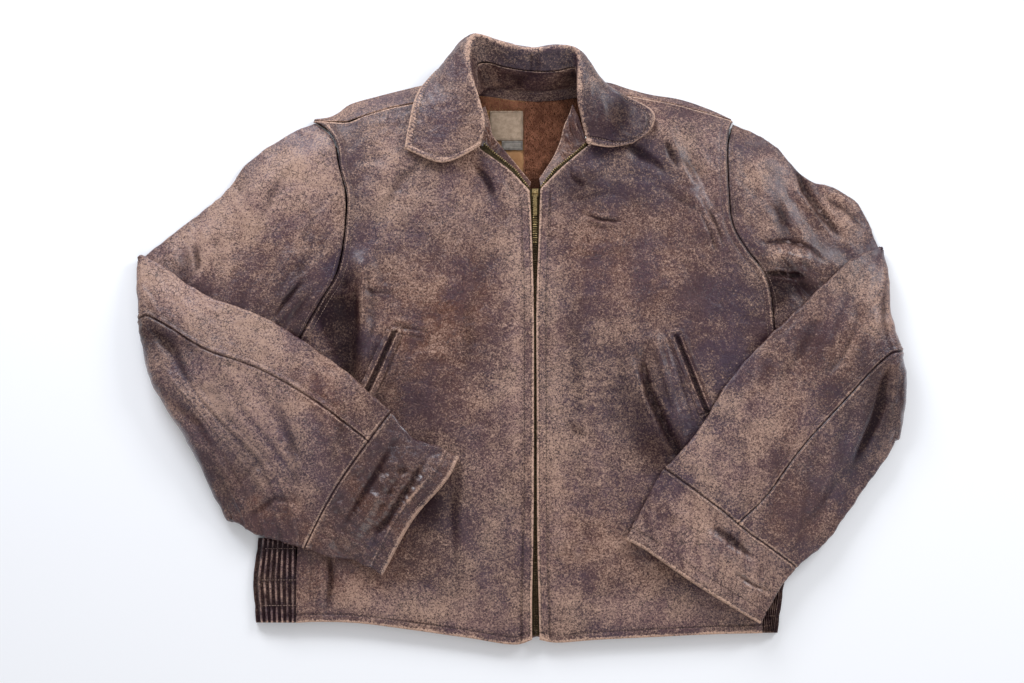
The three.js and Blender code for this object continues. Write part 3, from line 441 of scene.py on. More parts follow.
# A row laid from above on the leather below it
def on_leather(tree, line):
    places, normals = [], []
    for x, y in line:
        place, normal = tree.ray_cast(Vector((x, y, ABOVE_ALL)), Vector((0, 0, -1)))[:2]
        if place is None:
            continue
        places.append(tuple(place))
        normals.append(tuple(normal if normal.z > 0 else -normal))
    return np.array(places), np.array(normals)


# A row on a grid of leather, at places given in rows and columns
def on_grid(grid, rows, columns, out, closed=True):
    rows, columns = np.broadcast_arrays(np.asarray(rows, float), np.asarray(columns, float))
    j = np.clip(rows.astype(int), 0, grid.shape[0] - 2)
    v = (rows - j)[:, None]
    width = grid.shape[1]
    i = np.floor(columns).astype(int)
    if not closed:
        i = np.clip(i, 0, width - 2)
    u = (columns - i)[:, None]
    a, b = i % width, (i + 1) % width

    def read(values):
        low = values[j, a] * (1 - u) + values[j, b] * u
        high = values[j + 1, a] * (1 - u) + values[j + 1, b] * u
        return low * (1 - v) + high * v
    normals = read(out)
    return read(grid), normals / np.linalg.norm(normals, axis=1, keepdims=True)


# Fronts
# Two cow-hide fronts, cut from hem to shoulder seam, sewn to the back at the sides and shoulders
# and turned in along the zip, the neck and the hem. They carry a slanted pocket each.
HIDE = 1.6
SEAM_GAP = 0.34
EDGE_HEIGHT = 6.6
EDGE_REACH = 24
BODY_RISE = [[-340, 12], [-200, 19], [0, 25], [180, 29], [300, 31]]
SLEEVE_HALF = 8.4
CUFF_HALF = 7.4
EDGE_HALF = 3.3
FOLD_GAP = 1.6
REST_GAP = 2.2
REST_REACH = 15
ABOVE_ALL = 200
INNER_STEP = 3
SIDE_ROWS = 15
ARMHOLE_ROWS = 9
ZIP_ROWS = 19
FRONT_ROWS = SIDE_ROWS + ARMHOLE_ROWS
UPPER_ARM_ROWS = 8
TURN_ROWS = 6
FOREARM_ROWS = 10
CUFF_ROWS = 5

RIGHT = dict(
    side=-1,
    hem=[[-262, -311], [-245, -310], [-197, -311], [-139, -318], [-74, -327], [-20, -334], [-4, -329]],
    side_seam=[[-262, -311], [-263, -260], [-264, -216], [-280, -190], [-288, -140], [-284, -70],
               [-274, -14]],
    armhole=[[-274, -14], [-258, 16], [-241, 46], [-222, 82], [-215, 128], [-214, 168], [-222, 198],
             [-227, 228], [-235, 244], [-246, 256], [-258, 262]],
    zip_edge=[[-4, -329], [-4, -286], [-3, -243], [-2, -178], [-1.5, -68], [-1.5, 46], [-3.5, 124],
              [-5.5, 173]],
    neck_edge=[[-5.5, 173], [-28, 197], [-49, 213], [-63, 224], [-71, 245], [-79, 268], [-87, 288]],
    shoulder_seam=[[-258, 262], [-240, 260], [-215, 257], [-195, 265], [-166, 274], [-145, 278], [-109, 284],
                   [-87, 288]],
    shoulder_fold=[[-262, 267], [-240, 269], [-228, 275], [-217, 284], [-182, 295], [-136, 307], [-88, 318]],
    arm_top=[[-258, 265], [-284, 251], [-312, 231], [-340, 209], [-360, 179], [-385, 161], [-424, 131],
             [-452, 108]],
    arm_under=[[-274, -14], [-306, -28], [-324, -92], [-336, -190]],
    elbow_fold=[[-457, 102], [-451, 45], [-445, 2], [-429, -50], [-396, -99], [-364, -159], [-341, -204]],
    forearm_top=[[-447, 95], [-404, 70], [-376, 49], [-341, 37], [-307, 24], [-273, 6], [-249, -10],
                 [-224, -27], [-200, -47], [-160, -82]],
    forearm_under=[[-341, -204], [-309, -219], [-292, -223], [-253, -230]],
    cuff_seam=[[-160, -82], [-179, -108], [-219, -166], [-253, -230]],
    cuff_top=[[-160, -82], [-149, -96], [-138, -109], [-97, -124], [-85, -132]],
    cuff_under=[[-253, -230], [-226, -239], [-199, -243], [-167, -259]],
    mouth=[[-85, -132], [-96, -154], [-134, -199], [-167, -259]],
    ruched_edge=[[-306, -311], [-311, -265], [-306, -216]],
    back_seam_step=2,
    front_seed=11,
    strip_length=0.105,
    sleeve_seed=5,
)
LEFT = dict(
    side=1,
    hem=[[248, -322], [196, -323], [131, -326], [67, -329], [20, -332], [4, -329]],
    side_seam=[[248, -322], [250, -270], [256, -228], [270, -195], [284, -155], [284, -80], [273, -12]],
    armhole=[[273, -12], [269, 22], [265, 58], [258, 80], [243, 100], [225, 133], [221, 177], [221, 220],
             [224, 245], [231, 262]],
    zip_edge=[[4, -329], [3, -286], [2, -243], [1.5, -178], [1.5, -68], [1.5, 46], [4.5, 124], [6, 175]],
    neck_edge=[[6, 175], [30, 200], [53, 220], [64, 230], [71, 248], [77, 270], [82, 291]],
    shoulder_seam=[[231, 262], [210, 268], [188, 274], [157, 282], [120, 289], [99, 291], [82, 291]],
    shoulder_fold=[[235, 266], [204, 279], [170, 291], [135, 297], [110, 304], [84, 312]],
    arm_top=[[231, 266], [253, 254], [274, 241], [295, 221], [307, 202], [322, 193], [343, 189],
             [366, 179], [382, 160], [393, 134], [399, 115]],
    arm_under=[[273, -12], [316, -40], [362, -78], [400, -106]],
    elbow_fold=[[401, 112], [403, 76], [403, 33], [409, 2], [415, -21], [416, -62], [409, -111]],
    forearm_top=[[390, 121], [368, 113], [353, 97], [324, 72], [299, 46], [263, 12], [218, -38],
                 [199, -70], [178, -104], [142, -144]],
    forearm_under=[[409, -111], [400, -126], [378, -155], [351, -188], [324, -221], [285, -251]],
    cuff_seam=[[142, -144], [182, -174], [208, -194], [228, -211], [254, -229], [285, -251]],
    cuff_top=[[142, -144], [128, -167], [117, -188], [99, -221]],
    cuff_under=[[285, -251], [270, -268], [259, -287], [243, -311]],
    mouth=[[99, -221], [113, -228], [176, -271], [222, -299], [243, -311]],
    ruched_edge=[[264, -322], [272, -275], [280, -232]],
    back_seam_step=5,
    front_seed=47,
    strip_length=0.058,
    sleeve_seed=71,
)
HALVES = {"right": RIGHT, "left": LEFT}
BODY_FOLDS = [
    [[-193, 84], [-192, -60], 13, 7], [[-214, 62], [-209, -40], 12, -8], [[-240, 225], [-236, 100], 10, 3],
    [[134, 0], [164, -118], 9, 4], [[116, -18], [156, -124], 9, -5], [[0, -320], [0, 110], 14, 1.6],
    [[-60, -70], [-95, -260], 22, 3], [[150, 250], [196, 130], 12, 3], [[168, 240], [205, 150], 9, -3],
    [[-300, -205], [-262, -205], 14, 2],
]


def spline(points, t):
    given = np.array([(list(q) + [0.0])[:3] for q in points], float)
    spans = len(given) - 1
    ends = np.vstack([2 * given[0] - given[1], given, 2 * given[-1] - given[-2]])
    s = np.clip(np.asarray(t, float), 0, 1) * spans
    i = np.minimum(s.astype(int), spans - 1)
    w = (s - i)[..., None]
    a, b, c, d = ends[i], ends[i + 1], ends[i + 2], ends[i + 3]
    before, between, after = (np.maximum(np.sqrt(np.linalg.norm(q - p, axis=-1, keepdims=True)), 1e-3)
                              for p, q in ((a, b), (b, c), (c, d)))
    start = ((b - a) / before - (c - a) / (before + between) + (c - b) / between) * between
    finish = ((c - b) / between - (d - b) / (between + after) + (d - c) / after) * between
    bend = (-3 * b + 3 * c - 2 * start - finish) * w**2
    return b + start * w + bend + (2 * b - 2 * c + start + finish) * w**3


def along(points):
    steps = np.linspace(0, 1, 201)
    places = spline(points, steps)
    run = np.concatenate([[0], np.cumsum(np.linalg.norm(np.diff(places, axis=0), axis=1))])
    return lambda t: spline(points, np.interp(np.clip(t, 0, 1), run / run[-1], steps))


def joined(first, second, share):
    def place(t):
        t = np.asarray(t, float)
        return np.where((t <= share)[..., None], first(t / share), second((t - share) / (1 - share)))
    return place


def mix(a, b, t):
    return a + (b - a) * np.asarray(t, float)[..., None]


def patch(start, end, low, high):
    def place(u, v):
        u, v = np.broadcast_arrays(np.asarray(u, float), np.asarray(v, float))
        nought, one = np.zeros_like(u), np.ones_like(u)

        def fitted(edge, at):
            return edge(v) + mix(start(at) - edge(nought), end(at) - edge(one), v)
        corners = mix(mix(start(nought), start(one), u), mix(end(nought), end(one), u), v)
        return mix(start(u), end(u), v) + mix(fitted(low, nought), fitted(high, one), u) - corners
    return place


def table_at(pairs, at):
    return np.interp(at, [p[0] for p in pairs], [p[1] for p in pairs])


def to_segment(x, y, a, b):
    dx, dy = b[0] - a[0], b[1] - a[1]
    t = np.clip(((x - a[0]) * dx + (y - a[1]) * dy) / (dx * dx + dy * dy), 0, 1)
    return np.hypot(x - a[0] - t * dx, y - a[1] - t * dy)


def to_line(x, y, points):
    return np.minimum.reduce([to_segment(x, y, a, b) for a, b in zip(points, points[1:])])


# One at the centre, fading to nothing on both sides
def bell(distance, width, centre=0):
    return np.exp(-((distance - centre) / width) ** 2)


def fold_height(folds, x, y):
    return sum(rise * bell(to_segment(x, y, a, b), width) for a, b, width, rise in folds)


OUTLINE = [line for half in (RIGHT, LEFT) for line in (
    half["ruched_edge"] + half["side_seam"][3:], half["arm_under"], half["arm_top"], half["shoulder_fold"])]


def body_height(x, y):
    inward = np.minimum.reduce([to_line(x, y, line) for line in OUTLINE])
    swell = 1 - np.exp(-inward / EDGE_REACH)
    rise = (table_at(BODY_RISE, y) - EDGE_HEIGHT) * swell
    return EDGE_HEIGHT + rise + fold_height(BODY_FOLDS, x, y) * swell


def normals_of(grid, closed=False):
    if closed:
        across = np.roll(grid, -1, axis=1) - np.roll(grid, 1, axis=1)
    else:
        across = np.gradient(grid, axis=1)
    made = np.cross(across, np.gradient(grid, axis=0))
    return made / np.maximum(np.linalg.norm(made, axis=-1, keepdims=True), 1e-9)


def trimmed(grid, gap=SEAM_GAP / 2):
    out = grid.copy()

    def pull(edge, toward):
        step = toward - edge
        return edge + gap * step / np.maximum(np.linalg.norm(step, axis=-1, keepdims=True), 1e-9)
    out[:, 0] = pull(out[:, 0], grid[:, 1])
    out[:, -1] = pull(out[:, -1], grid[:, -2])
    out[0] = pull(out[0], out[1])
    out[-1] = pull(out[-1], out[-2])
    return out


# Repeatable unevenness of the hide, from -1 to 1
def unevenness(x, y, size, seed):
    values = np.random.default_rng(seed).random((64, 64)) * 2 - 1
    x, y = x / size, y / size
    i, j = np.floor(x).astype(int), np.floor(y).astype(int)
    u, v = x - i, y - j
    u, v = u * u * (3 - 2 * u), v * v * (3 - 2 * v)
    a, b = values[i % 64, j % 64], values[(i + 1) % 64, j % 64]
    c, d = values[i % 64, (j + 1) % 64], values[(i + 1) % 64, (j + 1) % 64]
    return (a * (1 - u) + b * u) * (1 - v) + (c * (1 - u) + d * u) * v


# Small slack waves that every old hide has, in millimetres
def crumple(x, y, seed, size=30.0, height=1.1):
    bx = x + 9 * unevenness(x, y, 31, seed + 1)
    by = y + 9 * unevenness(x, y, 31, seed + 2)
    ridged = 1 - 2 * np.abs(unevenness(bx, by, size, seed))
    middling = 1 - 2 * np.abs(unevenness(bx, by, size * 0.45, seed + 3))
    fine = unevenness(bx, by, size * 0.2, seed + 4)
    return height * (0.55 * ridged + 0.33 * middling + 0.12 * fine - 0.3)


# A crease is a line of points with its half-width and its height; a negative one is a trough
def creases(lines, x, y):
    total = np.zeros_like(x)
    for points, width, height in lines:
        lengths = [math.dist(a, b) for a, b in zip(points, points[1:])]
        whole, run = sum(lengths), 0.0
        nearest, share = np.full_like(x, 1e9), np.zeros_like(x)
        for (a, b), length in zip(zip(points, points[1:]), lengths):
            dx, dy = b[0] - a[0], b[1] - a[1]
            t = np.clip(((x - a[0]) * dx + (y - a[1]) * dy) / length**2, 0, 1)
            away = np.hypot(x - a[0] - t * dx, y - a[1] - t * dy)
            share = np.where(away < nearest, (run + t * length) / whole, share)
            nearest = np.minimum(nearest, away)
            run += length
        across = nearest / width
        section = bell(across, 1) - 0.45 * bell(across, 0.9, 1.9)
        total += height * section * np.clip(np.sin(np.pi * np.clip(share, 0.02, 0.98)), 0, 1) ** 0.6
    return total


# Tone and painted shade patches: place, half-sizes, turn in degrees and strength
def patches(spots, x, y):
    total = np.zeros_like(x)
    for (cx, cy), (rx, ry), turn, strength in spots:
        c, s = math.cos(math.radians(turn)), math.sin(math.radians(turn))
        u, v = ((x - cx) * c + (y - cy) * s) / rx, (-(x - cx) * s + (y - cy) * c) / ry
        total += strength * np.exp(-(u * u + v * v))
    return total


def kept_steps(count):
    return np.unique(np.append(np.arange(0, count, INNER_STEP), count - 1))


# The faces of a wall: outer side, inner side, then the cut edge. The inner side keeps only some
# of the rows and columns, and a closed wall goes on from its last column to its first.
def wall_faces(rows, columns, keep_rows, keep_columns, closed):
    n, m = len(keep_rows), len(keep_columns)
    wide, narrow = (columns, m) if closed else (columns - 1, m - 1)
    j, i = np.mgrid[0:rows - 1, 0:wide]
    right = (i + 1) % columns
    here, above = j * columns, (j + 1) * columns
    quads = np.stack([here + i, here + right, above + right, above + i], -1)
    faces = quads.reshape(-1, 4).tolist()

    def inside(b, a):
        return rows * columns + b * m + a % m
    for b in range(n - 1):
        for a in range(narrow):
            faces.append([inside(b, a), inside(b + 1, a), inside(b + 1, a + 1), inside(b, a + 1)])
    last = (rows - 1) * columns
    for a in range(narrow):
        stop = columns if a + 1 == m else keep_columns[a + 1]
        run = [k % columns for k in range(keep_columns[a], stop + 1)]
        faces.append(run[::-1] + [inside(0, a), inside(0, a + 1)])
        faces.append([last + k for k in run] + [inside(n - 1, a + 1), inside(n - 1, a)])
    for b in range(0 if closed else n - 1):
        run = range(keep_rows[b], keep_rows[b + 1] + 1)
        faces.append([k * columns for k in run] + [inside(b + 1, 0), inside(b, 0)])
        faces.append([k * columns + columns - 1 for k in reversed(run)]
                     + [inside(b, m - 1), inside(b + 1, m - 1)])
    return faces


def set_mark(mesh, label, values):
    attribute = mesh.attributes.get(label) or mesh.attributes.new(label, "FLOAT", "POINT")
    attribute.data.foreach_set("value", np.asarray(values, np.float32).ravel())


def faces_out(piece):
    work = bmesh.new()
    work.from_mesh(piece.data)
    inside_out = work.calc_volume(signed=True) < 0
    if inside_out:
        bmesh.ops.reverse_faces(work, faces=work.faces)
        work.to_mesh(piece.data)
    work.free()
    return piece


# A wall of cloth or hide between two grids, with its marks of wear, tone and painted shade
def wall(name, outer, inner, marks, material, closed=False):
    rows, columns = outer.shape[:2]
    keep_rows = kept_steps(rows)
    keep_columns = np.arange(0, columns, INNER_STEP) if closed else kept_steps(columns)
    kept = np.ix_(keep_rows, keep_columns)
    points = np.vstack([outer.reshape(-1, 3), inner[kept].reshape(-1, 3)])
    mesh = smooth_mesh(name, points, wall_faces(rows, columns, keep_rows, keep_columns, closed))
    for label in MARKS:
        values = np.broadcast_to(np.asarray(marks.get(label, 0.0), float), (rows, columns))
        both = np.concatenate([values.reshape(-1), values[kept].reshape(-1)])
        set_mark(mesh, label, np.clip(both, 0, 1))
    mesh.materials.append(material)
    return faces_out(put(name, mesh))


def leather(name, outer, inner, marks, closed=False, **finish):
    return wall(name, outer, inner, marks, leather_finish(name.replace("_", " "), **finish), closed)


def rides(piece, *solids, slot="hide"):
    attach(piece, "jacket")
    if solids:
        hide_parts(*solids)


# Shares of the way up and across, on a grid
def unit_grid(rows, columns):
    v, u = np.mgrid[0:rows + 1, 0:columns + 1].astype(float)
    return v / rows, u / columns


SIDE_CROWDING = 1.35
SIDE_DROP = 2.3


def front_grid(half, rows, columns):
    share = SIDE_ROWS / FRONT_ROWS
    outer = joined(along(half["side_seam"]), along(half["armhole"]), share)
    inner = joined(along(half["zip_edge"]), along(half["neck_edge"]), ZIP_ROWS / FRONT_ROWS)
    place = patch(along(half["hem"]), along(half["shoulder_seam"]), outer, inner)
    v, u = unit_grid(rows, columns)
    grid = place(u ** SIDE_CROWDING, v)
    grid[..., 2] = body_height(grid[..., 0], grid[..., 1])
    row = np.arange(rows + 1)[:, None] * FRONT_ROWS / rows
    beside_seam = np.clip((row - 4.5) * 2, 0, 1) * np.clip((SIDE_ROWS - row) * 2, 0, 1)
    drawn_in = beside_seam * np.clip(1 - u * 16, 0, 1)
    grid[..., 2] -= SIDE_DROP * drawn_in
    return grid if half["side"] < 0 else grid[:, ::-1]


# The stitched frame round each pocket, corner by corner, and the ridge of the pocket bag beside it
POCKET_FRAMES = dict(
    right=[(-151, 16), (-163, 10), (-192, -60), (-180, -66), (-151, 16)],
    left=[(150, 9), (164, 12), (199, -78), (184, -86), (150, 9)])
POCKET_SLITS = dict(right=[[-158, 10], [-188, -60]], left=[[159, 5], [191, -80]])
FRONT_CREASES = {
    "right": [
        ([(-143, 8), (-158, -30), (-176, -68)], 2.6, 1.2),
        ([(-173, 22), (-186, -12), (-200, -50)], 2.6, 1.4),
        ([(-173, 22), (-160, 14), (-143, 8)], 2.2, 0.9),
        ([(-143, 7), (-134, 5), (-124, 3)], 2.0, -1.2),
        ([(-70, 205), (-56, 188), (-46, 164)], 6, -1.6),
        ([(-58, 210), (-40, 186), (-30, 150)], 5, 1.2),
        ([(-214, 60), (-206, 20), (-200, -20)], 3, 1.6),
        ([(-205, 110), (-196, 40), (-193, -30)], 7, 1.6),
        ([(-185, 92), (-178, 60), (-150, 56)], 5, 0.9),
        ([(-188, 57), (-158, 54)], 3, -1.4),
        ([(-200, 90), (-204, 10), (-208, -50)], 4, -2.2),
        ([(-158, 18), (-140, 14), (-118, 10)], 2.5, -1.0),
        ([(-158, 24), (-136, 20)], 3.5, 0.7),
        ([(-120, 180), (-90, 120), (-70, 40)], 14, 0.8),
        ([(-60, 100), (-74, 30), (-78, -60)], 10, -0.8),
        ([(-140, 230), (-170, 200), (-200, 150)], 9, 0.9),
        ([(-110, 215), (-150, 190), (-186, 130)], 8, -0.8),
        ([(-100, -90), (-112, -150), (-104, -230)], 8, 1.1),
        ([(-80, -120), (-88, -200), (-84, -280)], 7, -0.9),
        ([(-40, -60), (-52, -140), (-50, -220)], 8, 0.7),
        ([(-240, -300), (-236, -250), (-240, -215)], 5, 1.4),
        ([(-228, -300), (-224, -262), (-228, -230)], 4, -1.2),
        ([(-212, -290), (-208, -255)], 5, 0.7),
        ([(-20, 150), (-34, 120), (-36, 80)], 6, 0.7),
    ],
    "left": [
        ([(135, 0), (150, -50), (166, -112)], 2.6, 1.5),
        ([(151, 4), (166, -40), (182, -94)], 2.2, 1.1),
        ([(120, -22), (128, -60), (158, -126)], 4.5, -3.0),
        ([(57, 146), (72, 140), (98, 137)], 2.2, -1.8),
        ([(56, 142), (74, 135), (98, 132)], 2.6, 1.0),
        ([(38, 204), (44, 190), (58, 176)], 4, -1.4),
        ([(104, 232), (120, 216), (132, 200)], 7, -2.2),
        ([(118, 238), (136, 214), (150, 190)], 7, -1.5),
        ([(150, 240), (156, 214), (168, 190)], 4, -1.3),
        ([(196, 158), (206, 134), (214, 108)], 3, -1.6),
        ([(188, 148), (200, 122), (206, 100)], 3, -1.3),
        ([(206, 170), (212, 150), (216, 134)], 3, 1.0),
        ([(30, 110), (70, 104), (120, 112)], 5, 0.8),
        ([(20, -80), (60, -110), (88, -150)], 6, -0.7),
        ([(116, 212), (150, 182), (196, 152)], 6, 0.9),
        ([(126, 196), (160, 168), (204, 140)], 5, -0.9),
        ([(132, 238), (170, 206), (206, 178)], 6, -0.9),
        ([(150, 244), (188, 214), (212, 196)], 6, 0.8),
        ([(146, 2), (158, -50), (172, -112)], 3.5, 1.5),
        ([(118, -18), (128, -60), (160, -126)], 4, -2.0),
        ([(96, 40), (112, -20), (130, -90)], 9, 0.8),
        ([(40, 190), (70, 200), (96, 214)], 6, 0.8),
        ([(30, 160), (66, 168), (104, 172)], 6, -0.6),
        ([(60, -90), (74, -180), (70, -270)], 10, 0.9),
        ([(110, -220), (140, -262), (190, -286)], 7, 0.9),
        ([(40, 60), (48, -40), (44, -140)], 12, -0.7),
        ([(120, -290), (180, -296), (236, -300)], 6, 0.6),
    ],
}
# Dark patches are painted shade in the hollows by the armholes and along folds, partly darker tone of the
# hide
FRONT_TONES_AND_SHADE = {
    "right": dict(
        rubbed=[((-100, 235), (60, 34), 10, 0.30), ((-170, 210), (34, 60), 0, 0.34),
                ((-120, 140), (80, 60), 0, 0.26),
                ((-60, -180), (26, 120), 4, 0.34), ((-20, 20), (10, 220), 0, 0.42),
                ((-36, -40), (20, 160), 0, 0.22),
                ((-190, -290), (60, 22), 0, 0.30), ((-100, -300), (90, 22), -8, 0.42),
                ((-130, -130), (40, 60), 0, 0.10)],
        russet=[((-100, 40), (80, 60), 0, 0.8), ((-130, -60), (60, 80), 20, 0.5),
                ((-190, -250), (60, 50), 0, 0.8),
                ((-70, 210), (40, 26), 0, 0.35)],
        gloss=[((-196, 40), (20, 80), 0, 0.2), ((-150, -30), (30, 60), 0, 0.3),
               ((-110, 110), (70, 60), 0, 0.35), ((-225, -270), (30, 40), 0, 0.8),
               ((-120, -200), (60, 60), 0, 0.25)],
        dark=[((-212, 20), (18, 70), 0, 1.0), ((-232, 30), (16, 44), 30, 1.4),
              ((-180, -60), (40, 40), 0, 0.5), ((-150, -180), (60, 40), 0, 0.5),
              ((-120, -140), (30, 70), 0, 0.35)]),
    "left": dict(
        rubbed=[((150, 250), (60, 26), -12, 0.30), ((200, 190), (20, 50), 0, 0.30),
                ((22, -60), (12, 240), 0, 0.34),
                ((60, -180), (60, 120), 0, 0.22), ((150, -296), (110, 24), 0, 0.5),
                ((110, 60), (80, 60), 0, 0.10),
                ((80, -60), (50, 80), 0, 0.06)],
        russet=[((60, 110), (60, 50), 0, 0.45), ((120, 20), (60, 50), 0, 0.35),
                ((60, -230), (80, 60), 0, 0.4)],
        gloss=[((70, 190), (60, 30), 0, 0.5), ((120, 90), (60, 60), 0, 0.3), ((140, -40), (26, 60), 15, 0.45),
               ((170, 190), (30, 50), 30, 0.4)],
        dark=[((110, -70), (34, 60), 20, 0.55), ((60, 180), (50, 20), 0, 0.35),
              ((150, -120), (40, 30), 0, 0.5)]),
}
# Rows and columns of the mesh, 2 mm apart
FRONT_FINE = (310, 137)
FRONT_SEAMS = ("zip_edge", "neck_edge", "hem", "armhole", "side_seam", "shoulder_seam")
fronts = {}
for side_name, half in HALVES.items():
    grid = front_grid(half, *FRONT_FINE)
    x, y = grid[..., 0], grid[..., 1]
    lines = [spline(half[name], np.linspace(0, 1, 40))[:, :2].tolist() for name in FRONT_SEAMS]
    away = [to_line(x, y, line) for line in lines]
    zip_away, neck_away, hem_away, arm_away, _, shoulder_away = away
    nearest = np.minimum.reduce(away)
    free = np.clip(nearest / 14, 0, 1)
    # Heights, then rubbed edges, then the wear of the hide and its painted shade
    slack = free * crumple(x, y, half["front_seed"])
    folds = free * creases(FRONT_CREASES[side_name], x, y)
    to_frame = to_line(x, y, POCKET_FRAMES[side_name])
    lift = slack + folds + 0.8 * bell(to_frame, 1.8) - 0.5 * bell(to_frame, 1.5, 4)
    lift += 0.7 * bell(np.minimum(zip_away, hem_away), 3.5, 5)
    lift -= 0.6 * bell(zip_away, 1.6, 12) + 0.5 * bell(hem_away, 1.5, 9)
    lift += 0.9 * bell(arm_away, 2.4, 3) - 0.5 * bell(arm_away, 1.5, 8)
    lift += 0.5 * bell(shoulder_away, 2.2, 3)
    edges = bell(zip_away, 3.2) + bell(hem_away, 3.6) + 0.5 * bell(arm_away, 1.7, 2.6)
    edges += 0.8 * bell(shoulder_away, 2.4) + 0.7 * bell(neck_away, 3)
    edges += 0.30 * bell(zip_away, 3.5, 9) + 0.6 * bell(to_frame, 1.3)
    edges += 0.32 * np.clip(folds - 0.5, 0, 1.2)
    marks = {label: patches(spots, x, y) for label, spots in FRONT_TONES_AND_SHADE[side_name].items()}
    rubbed = marks["rubbed"] + 0.15 + 0.28 * bell(zip_away, 8)
    marks["rubbed"] = rubbed + 0.12 * slack + 0.08 * unevenness(x, y, 34, 3)
    marks["gloss"] = marks["gloss"] + 0.38 + 0.2 * unevenness(x, y, 52, 8)
    marks["russet"] = marks["russet"] + 0.12 + 0.35 * np.clip(unevenness(x, y, 66, 31), 0, 1)
    marks["edge"] = edges
    # Painted shade: in the groove of the zip stitching, in the crease troughs, along the armhole seam and in
    # the groove of the hem stitching
    marks["dark"] += 0.55 * bell(zip_away, 1.2, 12) + 0.65 * np.clip(-folds - 0.2, 0, 1.4)
    marks["dark"] += 0.55 * bell(arm_away, 1.0, 1) + 0.6 * bell(hem_away, 1.0, 9)
    slit = bell(to_line(x, y, POCKET_SLITS[side_name]), 3)
    # Darker tone at random, and painted shade in the pocket slit
    marks["dark"] += 0.18 * np.clip(unevenness(x, y, 44, 12), 0, 1) + 1.6 * slit
    up = np.array([0.0, 0.0, 1.0])
    outer = trimmed(grid + up * lift[..., None])
    out = normals_of(grid)
    inner = trimmed(grid + up * np.minimum(lift, 0)[..., None] - out * HIDE * np.sign(out[..., 2:3]))
    piece = leather("front_hide_" + side_name, outer, inner, marks)
    rides(piece, "front_" + side_name)
    fronts[side_name] = outer


# Back
# One hide panel under the whole jacket, flat on the table. It comes over the shoulders to the
# shoulder seams, about 25 mm in front of the fold.
NECK_HALF_WIDTH = (60, 88)
BACK_SHORTER = 3
BACK_INSET = 1.2
NECK_STEP = 1
SHOULDER_GAP = 1.5


def smoothstep(value, low, high):
    t = np.clip((value - low) / (high - low), 0, 1)
    return t * t * (3 - 2 * t)


def back_grid(rows, columns, turn_steps, top_steps):
    def edge(half):
        line = joined(along(half["side_seam"]), along(half["armhole"]), SIDE_ROWS / FRONT_ROWS)
        return lambda t: line(t) + np.array([-half["side"] * BACK_INSET, 0, 0])

    def crest(half):
        tip = [half["shoulder_seam"][0][0] - half["side"] * BACK_INSET, 263.5]
        return [tip] + [[x, y - EDGE_HALF] for x, y in half["shoulder_fold"][1:]]
    neck = [[-58, 309], [-30, 301], [0, 298], [30, 300], [58, 305]]
    top_line = crest(RIGHT) + neck + crest(LEFT)[::-1]
    hem = RIGHT["hem"] + LEFT["hem"][::-1]
    hem_line = [[x - np.sign(x) * BACK_INSET, y + BACK_SHORTER] for x, y in hem]
    place = patch(along(hem_line), along(top_line), edge(RIGHT), edge(LEFT))
    v, u = unit_grid(rows, columns)
    flat = place(u, v)
    flat[..., 2] = 0
    start = flat[-1]
    x, y = start[:, 0], start[:, 1]
    share = smoothstep(np.abs(x), *NECK_HALF_WIDTH)
    seam_y = np.where(x < 0, table_at(RIGHT["shoulder_seam"], x), table_at(LEFT["shoulder_seam"][::-1], x))
    half_turn = math.pi * EDGE_HALF
    on_top = np.maximum(y - seam_y - SHOULDER_GAP, 0.2)
    bands = []
    for k in list(np.linspace(0, 3, turn_steps + 1)[1:]) + list(np.linspace(3, 5, top_steps + 1)[1:]):
        full = half_turn * k / 3 if k <= 3 else half_turn + on_top * (k - 3) / 2
        run = share * full + (1 - share) * k * NECK_STEP
        angle = np.minimum(run, half_turn) / EDGE_HALF
        past = np.maximum(run - half_turn, 0)
        new_y = y + EDGE_HALF * np.sin(angle) - past
        z = EDGE_HALF * (1 - np.cos(angle))
        z = np.where(past > 0, np.maximum(body_height(x, new_y), EDGE_HEIGHT), z)
        bands.append(np.stack([x, new_y, z], -1))
    return np.concatenate([flat, np.array(bands)])


grid = back_grid(120, 110, 9, 15)
x, y = grid[..., 0], grid[..., 1]
on_top = grid[..., 2] > EDGE_HEIGHT - 0.5
grid[..., 2] += np.where(on_top, 0.5 * crumple(x, y, 81), 0)
shoulder_away = np.minimum(to_line(x, y, RIGHT["shoulder_seam"]), to_line(x, y, LEFT["shoulder_seam"]))
marks = dict(
    rubbed=0.3 + 0.1 * unevenness(x, y, 60, 5), gloss=0.3, russet=0.25,
    edge=np.where(on_top, 0.85 * bell(shoulder_away, 2.6), 0.0))
inner = grid + normals_of(grid) * HIDE
piece = leather("back_hide", trimmed(grid), trimmed(inner), marks)
rides(piece, "back")
back_top = grid[-16:]


# Front stitching
# Rows of thread that hold the turned edges, the seams and the pocket frames of both fronts. Each
# row is let down on the hide from above.
def tree_of(grids):
    points, faces = [], []
    for grid in grids:
        rows, columns = grid.shape[:2]
        base = len(points)
        points += [Vector(p) for p in grid.reshape(-1, 3)]
        for j in range(rows - 1):
            for i in range(columns - 1):
                at = base + j * columns + i
                faces.append((at, at + 1, at + columns + 1, at + columns))
    return BVHTree.FromPolygons(points, faces)


def height_on(tree, x, y):
    hit = tree.ray_cast(Vector((x, y, ABOVE_ALL)), Vector((0, 0, -1)))[0]
    return hit.z if hit else 0.0


front_tree = tree_of(fronts.values())


# The row at a distance inside an edge of a front
def inside_row(line, distance, centre, share=(0, 1)):
    sides = [beside(line, sign * distance) for sign in (1, -1)]
    kept = min(sides, key=lambda row: np.linalg.norm(row - np.array(centre), axis=1).mean())
    return kept[int(share[0] * len(kept)):int(share[1] * len(kept))]


